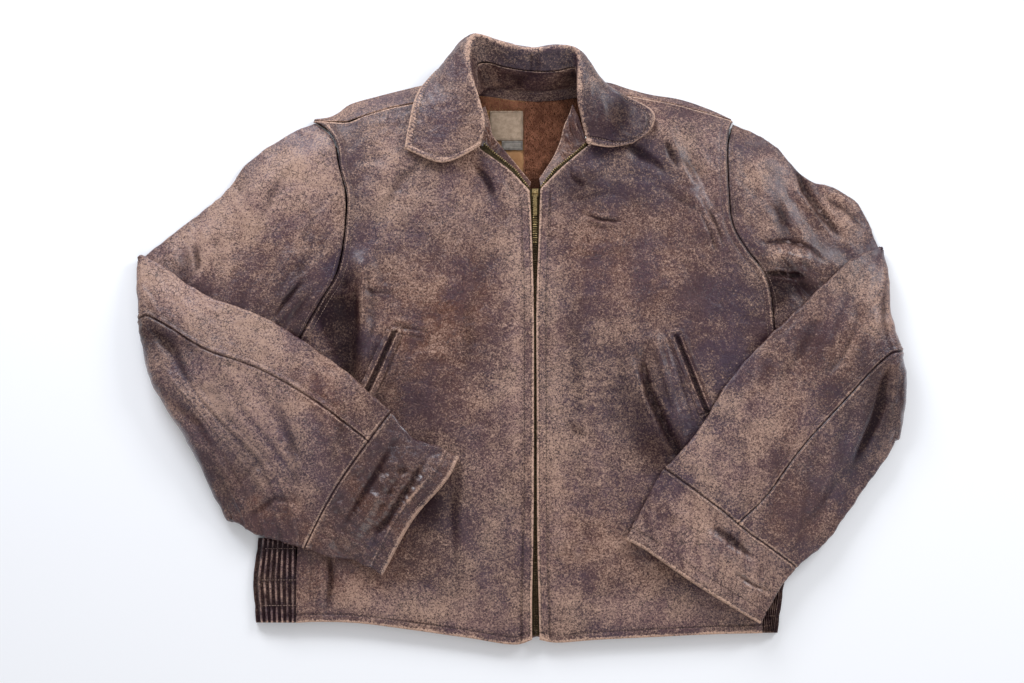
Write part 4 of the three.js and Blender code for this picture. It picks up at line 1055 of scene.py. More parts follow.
for side_name, half in HALVES.items():
    centre = (half["side"] * 130, 0)
    frame_line = np.array(POCKET_FRAMES[side_name], float)
    frame_line = np.vstack([mix(a, b, np.linspace(0, 1, 30)) for a, b in zip(frame_line, frame_line[1:])])
    tan_rows = [inside_row(half["armhole"], 7.5, centre, (0.04, 0.98)),
                inside_row(half["armhole"], 2.2, centre, (0.04, 0.98)),
                inside_row(half["shoulder_seam"], 2.4, centre),
                inside_row(half["neck_edge"], 3.5, centre, (0.0, 0.7)),
                frame_line]
    dark_rows = [inside_row(half["zip_edge"], 10.5, centre, (0.02, 0.97)),
                 inside_row(half["zip_edge"], 3.0, centre, (0.02, 0.97)),
                 inside_row(half["hem"], 8.5, centre)]
    sewn("front_stitching_tan_" + side_name, [on_leather(front_tree, row) for row in tan_rows], TAN_THREAD)
    sewn("front_stitching_dark_" + side_name, [on_leather(front_tree, row) for row in dark_rows], DARK_THREAD)

# Pocket welts
# Each slanted pocket has two narrow strips of turned hide with a dark slit between them, set into
# the front and held by a frame of stitches.
WELT_WIDTH = 8
WELT_RISE = 1.5
SLIT = 3.2
welt_grids = []
for side_name, (top, bottom) in POCKET_SLITS.items():
    top, bottom = np.array(top, float), np.array(bottom, float)
    down = (bottom - top) / np.linalg.norm(bottom - top)
    aside = np.array([-down[1], down[0]])
    for label, sign in (("inner", 1), ("outer", -1)):
        to_zip = sign * -np.sign(top[0]) * np.sign(aside[0])
        v, u = unit_grid(60, 12)
        at = top + (bottom - top) * v[..., None] + aside * (to_zip * (SLIT / 2 + u * WELT_WIDTH))[..., None]
        base = np.array([[height_on(front_tree, *p) for p in row] for row in at]) + SEAM_GAP
        puff = np.sin(np.pi * np.clip(u, 0.04, 0.96)) ** 0.5 * 0.9 + 0.7
        waves = 0.12 * unevenness(v * 70, u * 8, 6, 21)
        outer = np.dstack([at, base + WELT_RISE * puff * 0.75 + waves])
        inner = np.dstack([at, base])
        # Darker towards the slit as painted shade, on a dark tone that lightens outwards
        marks = dict(rubbed=0.12, gloss=0.5, russet=0.5, dark=0.5 + 0.5 * bell(u, 0.14) - 0.2 * u,
                     edge=0.62 * bell(u, 0.12, 0.3) + 0.4 * bell(u, 0.08, 0.92))
        which = label + "_" + side_name
        rides(leather("welt_hide_" + which, outer, inner, marks), "welt_" + which)
        welt_grids.append(outer)

# Ruched side panels
# A strip of thinner, glazed hide goes round each side of the waist. Three rows of elastic
# stitching gather it into standing pleats.
GATHERS = 8
GATHER_RISE = 1.9
RUCHED_HIDE = 1.3
GLAZED = 0.8
STITCH_ROWS = (0.2, 0.5, 0.87)


def ruched_grid(half, rise, rows=6, per_wave=4):
    seam_line = [[y, x] for x, y in half["side_seam"][:3]]
    edge_line = [[y, x] for x, y in half["ruched_edge"]]
    start, stop = half["side_seam"][0][1], half["side_seam"][2][1] - 3
    steps = GATHERS * per_wave
    scale = per_wave / 4
    side = half["side"]
    v = np.linspace(0, 1, rows + 1)[:, None]
    i = np.arange(steps + int(6 * scale) + 1)[None, :] / scale
    v, i = np.broadcast_arrays(v, i)
    y = start + (stop - start) * v + 0.5
    seam = table_at(seam_line, y) + side * 1.2 * SEAM_GAP
    edge = table_at(edge_line, y) - side * EDGE_HALF
    total = steps / scale
    pinch = np.minimum(np.minimum.reduce([np.abs(row - v) / 0.08 for row in STITCH_ROWS]), 1)
    wave = rise * (0.55 + 0.45 * pinch) * np.sin(np.pi * GATHERS * i / total) ** 2
    x_top = seam + (edge - seam) * np.clip(i / (total - 4), 0, 1)
    top = np.stack([x_top, y, np.maximum(body_height(x_top, y), EDGE_HEIGHT) + wave], -1)
    angle = np.pi * (i - total + 4) / 8
    radius = EDGE_HALF + wave * np.sin(angle)
    z_turn = np.maximum(EDGE_HALF + radius * np.cos(angle), 0)
    side_turn = np.stack([edge + side * radius * np.sin(angle), y, z_turn], -1)
    x_below = edge + (seam - edge) * np.clip((i - total - 4) / 2, 0, 1)
    below = np.stack([x_below, y, np.zeros_like(y)], -1)
    return np.where((i <= total - 4)[..., None], top, np.where((i <= total + 4)[..., None], side_turn, below))


RUCHED_FINE = (72, 16)
ruched_coarse = []
for side_name, half in HALVES.items():
    ruched_coarse.append(ruched_grid(half, GATHER_RISE))
    outer = ruched_grid(half, GATHER_RISE * 1.25, *RUCHED_FINE)
    plain = ruched_grid(half, 0.2, *RUCHED_FINE)
    toward = RUCHED_HIDE if half["side"] < 0 else -RUCHED_HIDE
    inner = plain + normals_of(plain) * toward
    v = np.linspace(0, 1, 73)[:, None] + np.zeros(outer.shape[1])
    near_row = np.minimum.reduce([np.abs(row - v) for row in STITCH_ROWS])
    worn = np.clip(0.8 + 0.5 * unevenness(v * 90, outer[..., 0], 9, 14), 0, 1)
    crest = smoothstep(outer[..., 2] - plain[..., 2], 0.5, 1.9) * worn
    # Lighter tan on the crests; the dark mark paints shade in the hollows between the pleats
    marks = dict(rubbed=0.1 + 0.5 * crest, gloss=0.85, dark=0.95 - 0.9 * crest, russet=0.3,
                 edge=0.4 * crest + 0.5 * bell(v, 0.03) + 0.2 * bell(near_row, 0.02))
    piece = leather("ruched_hide_" + side_name, outer, inner, marks, shine=GLAZED)
    rides(piece, "side_ruching_" + side_name, slot="gloss")
    out = normals_of(outer)
    out = out * np.sign(out[36, 8, 2])
    across = np.arange(2, outer.shape[1] - 60)
    rows = [on_grid(outer, np.full(len(across), 72 * row), across, out, False) for row in STITCH_ROWS]
    sewn("ruching_stitching_" + side_name, rows, TAN_THREAD)

# Sleeves and cuffs
# Each sleeve is two hides, a top and an under one, sewn to a flattened tube. The tube leaves the
# armhole, turns over at the elbow and lies on the front; a doubled band closes it at the wrist.
ARM_FOLDS = [
    [[-300, 190], [-420, 90], 18, 4], [[-250, 190], [-300, 60], 14, -4], [[306, 200], [350, 122], 9, -7],
    [[330, 190], [372, 130], 12, 5], [[262, 97], [322, 92], 13, 6], [[262, 62], [318, 58], 10, -6],
]
FOREARM_FOLDS = [
    [[-440, 55], [-330, -30], 16, 3], [[-425, -20], [-370, -90], 12, 4], [[-330, -60], [-300, -190], 16, -3],
    [[-390, -40], [-330, -140], 12, -3], [[395, 30], [330, -60], 12, 3], [[360, 60], [300, -40], 14, -2.5],
    [[380, -60], [330, -150], 14, 4],
]
CUFF_FOLDS = [
    [[-150, -150], [-215, -225], 8, 2.5], [[-125, -140], [-185, -240], 6, -2],
    [[190, -205], [256, -262], 9, -3],
    [[150, -200], [230, -245], 12, 2],
]
EDGE_INSET = 0.016
ARMHOLE_SHIFT = 0.006
CUFF_HIDE = 2.2
SETTLING_ROUNDS = 14


def plumpness(p):
    return np.maximum(np.sin(np.pi * p), 0) ** 0.7


def half_thickness(p, middle):
    return EDGE_HALF + (middle - EDGE_HALF) * plumpness(p)


def turn_line(half, p):
    edge = along(half["elbow_fold"])
    tangent = edge(np.clip(p + 0.0005, 0, 1)) - edge(np.clip(p - 0.0005, 0, 1))
    tangent /= np.linalg.norm(tangent, axis=-1, keepdims=True)
    outward = np.stack([tangent[..., 1], -tangent[..., 0], np.zeros_like(p)], -1)
    outward *= np.where(outward[..., :1] * half["side"] < 0, -1, 1)
    radius = 2 * half_thickness(p, SLEEVE_HALF) + FOLD_GAP / 2
    return edge(p) - outward * radius[..., None], outward


def upper_arm(half):
    p = np.linspace(0, 1, ARMHOLE_ROWS + 1)[None, :]
    s = (ARMHOLE_SHIFT + (1 - ARMHOLE_SHIFT) * np.arange(UPPER_ARM_ROWS + 1) / UPPER_ARM_ROWS)[:, None]
    p, s = np.broadcast_arrays(p, s)
    place = patch(along(half["armhole"][::-1]), lambda t: turn_line(half, t)[0],
                  along(half["arm_top"]), along(half["arm_under"]))
    at = place(EDGE_INSET + (1 - 2 * EDGE_INSET) * p, s)
    x, y = at[..., 0], at[..., 1]
    at_armhole = np.maximum(body_height(x, y), 2 * EDGE_HALF)
    at_turn = 2 * half_thickness(p, SLEEVE_HALF)
    share = smoothstep(s, 0.05, 1)
    folds = fold_height(ARM_FOLDS, x, y) * plumpness(p) * np.sin(np.pi * s)
    top = at_armhole + (at_turn - at_armhole) * share + folds
    thick = np.maximum(top, 2 * EDGE_HALF) / 2
    mid = np.dstack([x, y, thick])
    N = np.zeros_like(mid)
    N[..., 2] = -1
    return mid, thick, N


def elbow(half):
    p = np.linspace(0, 1, ARMHOLE_ROWS + 1)
    centre, outward = turn_line(half, EDGE_INSET + (1 - 2 * EDGE_INSET) * p)
    thick = half_thickness(p, SLEEVE_HALF)
    radius = thick + FOLD_GAP / 2
    mids, Ns = [], []
    for j in range(1, TURN_ROWS + 1):
        angle = math.pi * j / TURN_ROWS
        N = outward * math.sin(angle) + np.array([0, 0, -math.cos(angle)])
        mid = centre + N * radius[:, None]
        mid[:, 2] += 2 * thick + FOLD_GAP / 2
        mids.append(mid)
        Ns.append(N)
    return np.array(mids), np.tile(thick, (TURN_ROWS, 1)), np.array(Ns)


def rest_height(tree, x, y):
    top = height_on(tree, x, y)
    for turn in (k * math.pi / 4 for k in range(8)):
        top = max(top, height_on(tree, x + REST_REACH * math.cos(turn), y + REST_REACH * math.sin(turn)))
    return top


def forearm(half, tree):
    total = FOREARM_ROWS + CUFF_ROWS
    seam = along(half["cuff_seam"])
    arm = patch(lambda t: turn_line(half, t)[0], seam, along(half["forearm_top"]),
                along(half["forearm_under"]))
    cuff = patch(seam, along(half["mouth"]), along(half["cuff_top"]), along(half["cuff_under"]))
    k, j = np.meshgrid(np.arange(ARMHOLE_ROWS + 1), np.arange(total + 1))
    p = k / ARMHOLE_ROWS
    inset = EDGE_INSET + (1 - 2 * EDGE_INSET) * p
    on_cuff = j > FOREARM_ROWS
    on_arm = np.minimum(j / FOREARM_ROWS, 1)
    at = np.where(on_cuff[..., None], cuff(inset, (j - FOREARM_ROWS) / CUFF_ROWS), arm(inset, on_arm))
    z = np.array([[rest_height(tree, q[0], q[1]) + REST_GAP for q in row] for row in at])
    z[0] = 2 * half_thickness(p[0], SLEEVE_HALF) + FOLD_GAP
    for _ in range(SETTLING_ROUNDS):
        for row in range(1, total + 1):
            for i in range(ARMHOLE_ROWS + 1):
                after = z[min(row + 1, total)][i]
                sides = z[row][max(i - 1, 0)] + z[row][min(i + 1, ARMHOLE_ROWS)]
                z[row][i] = max(z[row][i], (z[row - 1][i] + after + sides) / 4)
    middle = SLEEVE_HALF + (CUFF_HALF - SLEEVE_HALF) * on_arm
    fading = np.minimum(j / 3, 1) * plumpness(p)
    x, y = at[..., 0], at[..., 1]
    folds = np.where(on_cuff, fold_height(CUFF_FOLDS, x, y), fold_height(FOREARM_FOLDS, x, y)) * fading
    thick = half_thickness(p, middle) + folds / 2
    mid = np.dstack([x, y, z + thick])
    N = np.zeros_like(mid)
    N[..., 2] = 1
    return mid, thick, N


# Values on rows and columns, read smoothly between them
def finer(values, rows, columns):
    def spread(table_values, at):
        spans = len(table_values) - 1
        before, after = 2 * table_values[:1] - table_values[1:2], 2 * table_values[-1:] - table_values[-2:-1]
        ends = np.concatenate([before, table_values, after])
        i = np.minimum(at.astype(int), spans - 1)
        w = (at - i).reshape((-1,) + (1,) * (table_values.ndim - 1))
        a, b, c, d = ends[i], ends[i + 1], ends[i + 2], ends[i + 3]
        return b + 0.5 * w * (c - a + w * (2 * a - 5 * b + 4 * c - d + w * (3 * (b - c) + d - a)))
    out = spread(values, rows)
    return np.swapaxes(spread(np.swapaxes(out, 0, 1), columns), 0, 1)


# width and area of each sleeve piece as cut, in metres
SLEEVE_CUT = {("top", "right"): (0.26, 0.145), ("under", "right"): (0.18, 0.083),
              ("top", "left"): (0.28, 0.155), ("under", "left"): (0.11, 0.04)}
EDGE_ROUNDING = (0.15, 0.6)
SLEEVE_TRIM = 0.3
OUTER_ABOVE_TABLE = 0.05
INNER_ABOVE_TABLE = 0.3
ARM_FINE = 9
ACROSS_FINE = 10
ROUND_STEPS = 9


def rings_of(mid, thick, N, rounding, side):
    run = np.gradient(mid, axis=0)
    turns = np.pi * np.arange(1, ROUND_STEPS + 1) / (ROUND_STEPS + 1)

    def edge(k, sign, rising):
        out = np.cross(N[:, k], run[:, k])
        out *= (sign * thick[:, k] * rounding / np.linalg.norm(out, axis=-1))[:, None]
        angles = turns if rising else np.pi - turns
        return np.stack([mid[:, k] + N[:, k] * (thick[:, k] * math.cos(a))[:, None] + out * math.sin(a)
                         for a in angles], 1)
    away = (mid - N * thick[..., None])[:, ::-1]
    toward = mid + N * thick[..., None]
    return np.concatenate([away, edge(0, -side, False), toward, edge(-1, side, True)], 1)


ARM_CREASES = {
    "right": [
        ([(-300, 215), (-345, 150), (-400, 110)], 9, 1.0),
        ([(-262, 230), (-300, 170), (-330, 100)], 8, -1.0),
        ([(-380, 140), (-370, 90), (-390, 60)], 5, 1.2),
        ([(-390, 120), (-382, 80)], 4, -1.4),
        ([(-250, 120), (-290, 80), (-300, 40)], 8, 0.9),
        ([(-240, 170), (-262, 120), (-268, 60)], 6, -0.9),
        ([(-420, 112), (-400, 80)], 5, 0.8),
        ([(-352, 191), (-342, 181), (-331, 173)], 1.3, -1.6),
        ([(-262, 70), (-284, 44), (-296, 24)], 3, -1.6),
        ([(-252, 62), (-274, 36), (-284, 20)], 3, 1.4),
    ],
    "left": [
        ([(304, 202), (312, 176), (330, 150), (350, 122)], 4.5, -2.6),
        ([(294, 206), (300, 176), (318, 146), (338, 118)], 6, 1.6),
        ([(258, 94), (286, 98), (308, 92), (320, 78)], 9, 3.6),
        ([(256, 77), (282, 76), (304, 74)], 2.4, -4.0),
        ([(262, 113), (290, 115), (314, 108), (328, 92)], 2.2, -1.8),
        ([(296, 92), (308, 86), (312, 78)], 2.5, -1.6),
        ([(322, 190), (350, 176), (376, 150)], 7, 1.2),
        ([(330, 172), (356, 158), (380, 132)], 5, -1.4),
        ([(236, 220), (262, 190), (270, 150)], 8, 0.9),
        ([(250, 170), (280, 150), (300, 120)], 7, -0.8),
    ],
}
FOREARM_CREASES = {
    "right": [
        ([(-436, 26), (-410, 8), (-380, -6)], 5, 1.2),
        ([(-430, 10), (-400, -16), (-384, -44)], 5, -1.3),
        ([(-420, -30), (-388, -60), (-352, -80)], 7, 1.4),
        ([(-404, -70), (-372, -96), (-350, -130)], 6, -1.2),
        ([(-350, -10), (-330, -60), (-300, -120)], 10, 1.0),
        ([(-330, -180), (-300, -150), (-270, -140)], 7, 1.2),
        ([(-320, -200), (-286, -176), (-256, -180)], 5, -1.3),
        ([(-290, -60), (-270, -110), (-262, -170)], 8, -0.9),
        ([(-240, -60), (-236, -110), (-244, -160)], 7, 0.9),
        ([(-210, -60), (-214, -100), (-222, -140)], 5, -0.8),
    ],
    "left": [
        ([(382, 86), (372, 40), (388, 4)], 8, 1.1),
        ([(396, 60), (388, 20), (398, -16)], 5, -1.2),
        ([(350, 56), (336, 10), (300, -40)], 8, 0.9),
        ([(320, 40), (296, -10), (262, -60)], 8, -0.9),
        ([(404, -20), (396, -60), (404, -100)], 5, 1.6),
        ([(390, -40), (378, -90), (352, -140)], 6, -1.5),
        ([(372, -60), (352, -110), (322, -160)], 7, 1.3),
        ([(340, -140), (310, -190), (286, -214)], 7, -1.0),
        ([(250, -40), (226, -90), (204, -130)], 7, 0.8),
        ([(360, 20), (342, -20), (320, -40)], 4, -0.9),
    ],
}
CUFF_CREASES = {
    "right": [
        ([(-150, -106), (-176, -150), (-214, -214)], 4, -1.4),
        ([(-138, -118), (-160, -152), (-200, -224)], 5, 1.6),
        ([(-120, -132), (-146, -176), (-182, -232)], 4, -1.5),
        ([(-112, -140), (-130, -170), (-150, -196)], 5, 1.3),
        ([(-170, -118), (-188, -128)], 4, 1.2), ([(-186, -140), (-204, -152)], 4, 1.1),
        ([(-206, -182), (-224, -190)], 4, 1.2), ([(-160, -200), (-182, -214)], 5, -1.3),
        ([(-130, -150), (-150, -146), (-172, -150)], 4, -1.2), ([(-150, -180), (-176, -176)], 4, 1.2),
    ],
    "left": [
        ([(192, -206), (214, -222), (236, -240)], 4, -1.6),
        ([(184, -214), (210, -234), (240, -254)], 5, 1.0),
        ([(214, -256), (236, -270), (258, -278)], 2.5, -1.6),
        ([(130, -172), (150, -190), (176, -206)], 6, 0.9),
        ([(150, -236), (180, -252), (206, -266)], 5, 0.7),
    ],
}
# Dark patches are mostly painted shade in the hollows by the armholes and in crease notches, partly darker
# tone on the cuffs
SLEEVE_TONES_AND_SHADE = {
    "right": dict(
        arm=dict(rubbed=[((-330, 150), (110, 50), 40, 0.54), ((-260, 200), (50, 80), 30, 0.4),
                         ((-400, 110), (60, 34), 30, 0.5)],
                 gloss=[((-400, 80), (16, 40), 0, 0.7), ((-270, 70), (40, 40), 0, 0.4)],
                 russet=[((-330, 100), (90, 60), 30, 0.35)],
                 dark=[((-398, 76), (10, 34), 0, 0.6), ((-262, 40), (24, 34), 20, 0.4)]),
        fore=dict(rubbed=[((-410, 60), (60, 26), -30, 0.9), ((-300, 10), (110, 22), -32, 0.4),
                          ((-320, -64), (100, 60), -40, 0.6),
                          ((-290, -160), (60, 40), 0, 0.12)],
                  gloss=[((-290, -130), (60, 60), -30, 0.75), ((-410, -20), (40, 40), 0, 0.6),
                         ((-380, -100), (40, 40), 0, 0.4)],
                  russet=[((-240, -60), (60, 40), 0, 0.6), ((-300, -190), (60, 30), 0, 0.6)],
                  dark=[((-425, 6), (50, 14), -20, 0.7), ((-340, -150), (40, 50), 0, 0.35)]),
        cuff=dict(rubbed=[((-170, -170), (90, 90), 0, -0.1)], gloss=[((-170, -170), (90, 90), 0, 1.0)],
                  russet=[((-180, -180), (90, 90), 0, 0.45)], dark=[((-160, -170), (60, 60), 0, 0.36)])),
    "left": dict(
        arm=dict(rubbed=[((330, 160), (60, 40), -30, 0.2), ((260, 200), (40, 60), -30, 0.25)],
                 gloss=[((288, 94), (34, 14), 0, 0.8), ((290, 62), (10, 12), 0, 0.5),
                        ((300, 170), (40, 40), 0, 0.2)],
                 russet=[((300, 130), (60, 60), 0, 0.35)],
                 dark=[((268, 56), (20, 20), 0, 1.4), ((300, 62), (20, 12), 0, 0.8),
                       ((281, 142), (9, 26), 8, 0.75),
                       ((323, 150), (10, 24), 30, 0.7), ((310, 190), (9, 26), 30, 0.6)]),
        fore=dict(rubbed=[((360, 40), (50, 60), 50, 0.18), ((250, -90), (50, 60), 50, 0.36),
                          ((210, -150), (60, 30), -40, 0.45),
                          ((392, 20), (16, 40), 0, 0.5)],
                  gloss=[((380, -70), (40, 90), -20, 0.95), ((330, -170), (40, 50), 40, 0.5),
                         ((320, 20), (50, 50), 0, 0.3)],
                  russet=[((300, -20), (70, 60), 40, 0.3), ((300, -190), (50, 30), 0, 0.4)],
                  dark=[((385, -60), (24, 60), -10, 0.55), ((340, 60), (60, 20), 45, 0.2)]),
        cuff=dict(rubbed=[((190, -230), (90, 60), -30, 0.55)], gloss=[((240, -250), (30, 30), 0, 0.4)],
                  russet=[((180, -220), (60, 60), 0, 0.45)], dark=[((210, -220), (20, 10), -40, 0.6)])),
}
for side_name, half in HALVES.items():
    arm_part = upper_arm(half)
    arm_top_grid = arm_part[0].copy()
    arm_top_grid[..., 2] += arm_part[1]
    tree = tree_of([front_grid(RIGHT, FRONT_ROWS, 13), front_grid(LEFT, FRONT_ROWS, 13), *ruched_coarse,
                    arm_top_grid, *welt_grids])
    elbow_part, fore_part = elbow(half), forearm(half, tree)
    mid, thick, N = (np.concatenate([a, b, c[1:]]) for a, b, c in zip(arm_part, elbow_part, fore_part))
    whole = UPPER_ARM_ROWS + TURN_ROWS + FOREARM_ROWS + CUFF_ROWS
    seam_row = UPPER_ARM_ROWS + TURN_ROWS + FOREARM_ROWS
    row_at = np.linspace(0, whole, whole * ARM_FINE + 1)
    column_at = np.linspace(0, ARMHOLE_ROWS, ARMHOLE_ROWS * ACROSS_FINE + 1)
    mid, thick, N = (finer(part, row_at, column_at) for part in (mid, thick, N))
    N /= np.linalg.norm(N, axis=-1, keepdims=True)
    rounding = np.interp(row_at, [0, 1, 2], [EDGE_ROUNDING[0], EDGE_ROUNDING[1], 1])
    rings = rings_of(mid, thick, N, rounding, half["side"])
    outward = normals_of(rings, True)
    centre = rings.mean(axis=1, keepdims=True)
    if ((rings - centre) * outward).sum() < 0:
        outward = -outward
    x, y = rings[..., 0], rings[..., 1]
    row = row_at[:, None] + np.zeros(rings.shape[1])
    is_arm = smoothstep(row, UPPER_ARM_ROWS + 2.4, UPPER_ARM_ROWS + 1.2)
    is_cuff = smoothstep(row, seam_row - 0.05, seam_row + 0.05)
    is_fore = (1 - is_arm) * (1 - is_cuff)
    facing_up = smoothstep(outward[..., 2], 0.1, 0.6)
    step = np.linalg.norm(np.diff(rings, axis=1, append=rings[:, :1]), axis=-1)
    around = np.cumsum(step, axis=1)
    length = np.cumsum(np.linalg.norm(np.diff(rings, axis=0, prepend=rings[:1]), axis=-1), axis=0)
    seed = half["sleeve_seed"]
    arm_folds, fore_folds, cuff_folds = (creases(table[side_name], x, y)
                                         for table in (ARM_CREASES, FOREARM_CREASES, CUFF_CREASES))
    folds = facing_up * (is_arm * arm_folds + is_fore * fore_folds + is_cuff * cuff_folds)
    cuff_slack = crumple(around, length, seed + 9, 17, 1.7)
    slack = crumple(around, length, seed, 30, 1.5) * (1 - is_cuff) + is_cuff * cuff_slack
    lift = folds + slack
    from_armhole = np.abs(length - length[0])
    cuff_index = seam_row * ARM_FINE
    to_cuff = np.abs(length - length[cuff_index])
    to_mouth = np.abs(length[-1] - length)
    lift *= np.clip(np.minimum.reduce([from_armhole, to_cuff, to_mouth]) / 9, 0, 1)
    lift += 0.6 * bell(to_cuff, 2.2, 3.5) - 0.4 * bell(from_armhole, 2.5, 1)
    lift += is_cuff * 0.5 * bell(to_mouth, 4, 5) - is_cuff * 0.5 * bell(to_mouth, 1.6, 14)
    across_count = len(column_at)
    seam_column = across_count + ROUND_STEPS + half["back_seam_step"] * ACROSS_FINE
    seam_place = around[:, seam_column:seam_column + 1]
    to_seam = np.minimum(np.abs(around - seam_place), np.abs(around))
    on_sleeve = 1 - is_cuff
    lift += on_sleeve * (0.8 * bell(to_seam, 2.0, 3) - 0.5 * bell(to_seam, 1.5, 7.5))
    zones = SLEEVE_TONES_AND_SHADE[side_name]
    shares = dict(arm=is_arm, fore=is_fore, cuff=is_cuff)
    tones_and_shade = {}
    for label in ("rubbed", "gloss", "russet", "dark"):
        painted = sum(share * patches(zones[zone].get(label, []), x, y) for zone, share in shares.items())
        tones_and_shade[label] = painted * (0.35 + 0.65 * facing_up)
    tones_and_shade["rubbed"] = tones_and_shade["rubbed"] + 0.13 + 0.14 * slack + 0.08 * unevenness(around, length, 30, seed + 2)
    tones_and_shade["gloss"] = tones_and_shade["gloss"] + 0.45 + 0.2 * unevenness(around, length, 46, seed + 6)
    reddened = np.clip(unevenness(around, length, 60, seed + 12), 0, 1)
    tones_and_shade["russet"] = tones_and_shade["russet"] + 0.12 + 0.35 * reddened
    # The dark mark adds painted shade in the crease troughs and in the grooves of the armhole, back and cuff
    # seams
    tones_and_shade["dark"] = tones_and_shade["dark"] + 0.6 * np.clip(-folds - 0.2, 0, 1.4) + 0.6 * bell(from_armhole, 1.2, 0.5)
    tones_and_shade["dark"] += 0.5 * on_sleeve * bell(to_seam, 0.9) + 0.5 * bell(to_cuff, 0.9)
    tones_and_shade["edge"] = np.clip(
        0.56 * on_sleeve * bell(to_seam, 1.6, 2.2) + 0.35 * bell(from_armhole, 2.5)
        + 0.65 * bell(to_cuff, 1.8, 2) + is_cuff * 0.9 * bell(to_mouth, 3.5)
        + is_cuff * 0.45 * bell(to_mouth, 1.8, 16.5) + 0.32 * np.clip(folds - 0.5, 0, 1.2), 0, 1)
    outer = rings + outward * lift[..., None]
    outer[..., 2] = np.maximum(outer[..., 2], OUTER_ABOVE_TABLE)
    base_lift = np.minimum(lift, 0)
    inner_arm = rings + outward * (base_lift - HIDE)[..., None]
    inner_arm[..., 2] = np.maximum(inner_arm[..., 2], INNER_ABOVE_TABLE)

    def top_part(values):
        return values[:cuff_index + 1, :seam_column + 1]

    def under_part(values):
        return np.concatenate([values[:cuff_index + 1, seam_column:], values[:cuff_index + 1, :1]], 1)
    for label, pick, shine, slot in (("top", top_part, 0.5, "hide"), ("under", under_part, GLAZED, "gloss")):
        piece_marks = {key: pick(value) for key, value in tones_and_shade.items()}
        if label == "under":
            piece_marks["gloss"] = piece_marks["gloss"] + 0.15
        which = label + "_" + side_name
        sides = (trimmed(pick(grid), SLEEVE_TRIM) for grid in (outer, inner_arm))
        piece = leather("sleeve_hide_" + which, *sides, piece_marks, shine=shine)
        rides(piece, "sleeve_" + which, slot=slot)
        width, area = SLEEVE_CUT[label, side_name]
    cuff_outer = outer[cuff_index:].copy()
    step = cuff_outer[1] - cuff_outer[0]
    cuff_outer[0] += SEAM_GAP * step / np.linalg.norm(step, axis=-1, keepdims=True)
    cuff_inner = (rings + outward * (base_lift - CUFF_HIDE)[..., None])[cuff_index:]
    cuff_marks = {key: value[cuff_index:] for key, value in tones_and_shade.items()}
    piece = leather("cuff_hide_" + side_name, cuff_outer, cuff_inner, cuff_marks, closed=True, shine=GLAZED)
    rides(piece, "cuff_" + side_name, slot="gloss")
    columns = np.arange(outer.shape[1])
    down_sleeve = np.arange(3, cuff_index - 2)

    def seam_row_at(distance):
        at = [np.interp(seam_place[r, 0] + distance, around[r], columns) for r in down_sleeve]
        return on_grid(outer, down_sleeve, at, outward)

    def across_row(distance, measured, rows, picked):
        at = [rows[0] + np.interp(distance, measured[rows, c], np.arange(len(rows))) for c in picked]
        return on_grid(outer, at, picked, outward)
    arm_columns = np.arange(3, across_count - 3)
    fore_columns = np.arange(across_count + ROUND_STEPS - 3, 2 * across_count + ROUND_STEPS + 3)
    before_cuff = np.arange(cuff_index - 12, cuff_index + 1)
    sleeve_rows = [seam_row_at(-2.4), seam_row_at(-8),
                   across_row(5, from_armhole, np.arange(0, 20), arm_columns)]
    sleeve_rows.append(across_row(-2.6, -to_cuff, before_cuff, fore_columns))
    sewn("sleeve_stitching_" + side_name, sleeve_rows, TAN_THREAD)
    after_cuff = np.arange(cuff_index, len(outer))
    cuff_rows = [across_row(2.8, to_cuff, after_cuff, fore_columns),
                 across_row(-4, -to_mouth, after_cuff, fore_columns)]
    sewn("cuff_stitching_" + side_name, cuff_rows, TAN_THREAD)
    sewn("cuff_band_stitching_" + side_name, [across_row(-14, -to_mouth, after_cuff, fore_columns)],
         DARK_THREAD)

# Collar
# A one-piece turned collar: a stand sewn round the neck and a doubled fall that rolls over it and
# lies on the shoulders, with two rows of stitching along its worn edge.
COLLAR = [
    [[-64, 228, 33.5], [-62, 224, 36], [-63, 222, 40], [-104, 203, 40], [-149, 221, 35]],
    [[-69.5, 247, 33.5], [-59, 245, 38], [-57, 245, 45], [-99, 242, 43], [-145, 247, 35]],
    [[-76, 270, 32], [-65, 272, 39], [-62, 273, 49], [-98, 277, 45], [-138, 281, 33]],
    [[-62, 292, 20], [-66, 301, 37], [-73, 303, 51], [-102, 309, 42], [-127, 306, 21]],
    [[-57, 300, 11], [-65, 321, 37], [-76, 338, 52], [-96, 337, 36], [-104, 328, 13]],
    [[-44, 304, 6], [-55, 323, 37], [-68, 352, 51], [-77, 354, 34], [-70, 330, 4]],
    [[-26, 302.1, 4.6], [-33, 317, 37], [-36, 342, 51], [-37, 347, 30], [-36, 313, 3]],
    [[4, 300, 4.6], [4, 312, 37], [-2, 335, 50], [-2, 341, 29], [-2, 311, 3]],
    [[30, 302.1, 4.6], [28, 313, 37], [26, 338, 52], [28, 343, 30], [27, 312, 3]],
    [[49, 304.5, 6], [46, 316, 38], [47, 334, 53], [60, 331, 35], [62, 319, 4]],
    [[57, 294, 18], [48, 300, 38], [50, 305, 52], [70, 308, 43], [86, 300, 22]],
    [[74, 278, 31], [50, 277, 39], [49, 277, 50], [80, 280, 45], [113, 281, 32]],
    [[69, 254, 33], [54, 253, 38], [53, 253, 46], [92, 253, 43], [137, 264, 35]],
    [[64, 236, 33.5], [58, 238, 37], [57, 238, 42], [96, 233, 41], [134, 245, 35]],
    [[66, 228, 33.5], [60, 226, 36], [60, 225, 40], [86, 221, 40], [112, 227, 35]],
]
COLLAR_HIDE = 2.4
stations = 240
t = np.linspace(0, 1, stations + 1)
lines = np.array([spline([station[n] for station in COLLAR], t) for n in range(5)])
v = np.linspace(0, 1, 31)
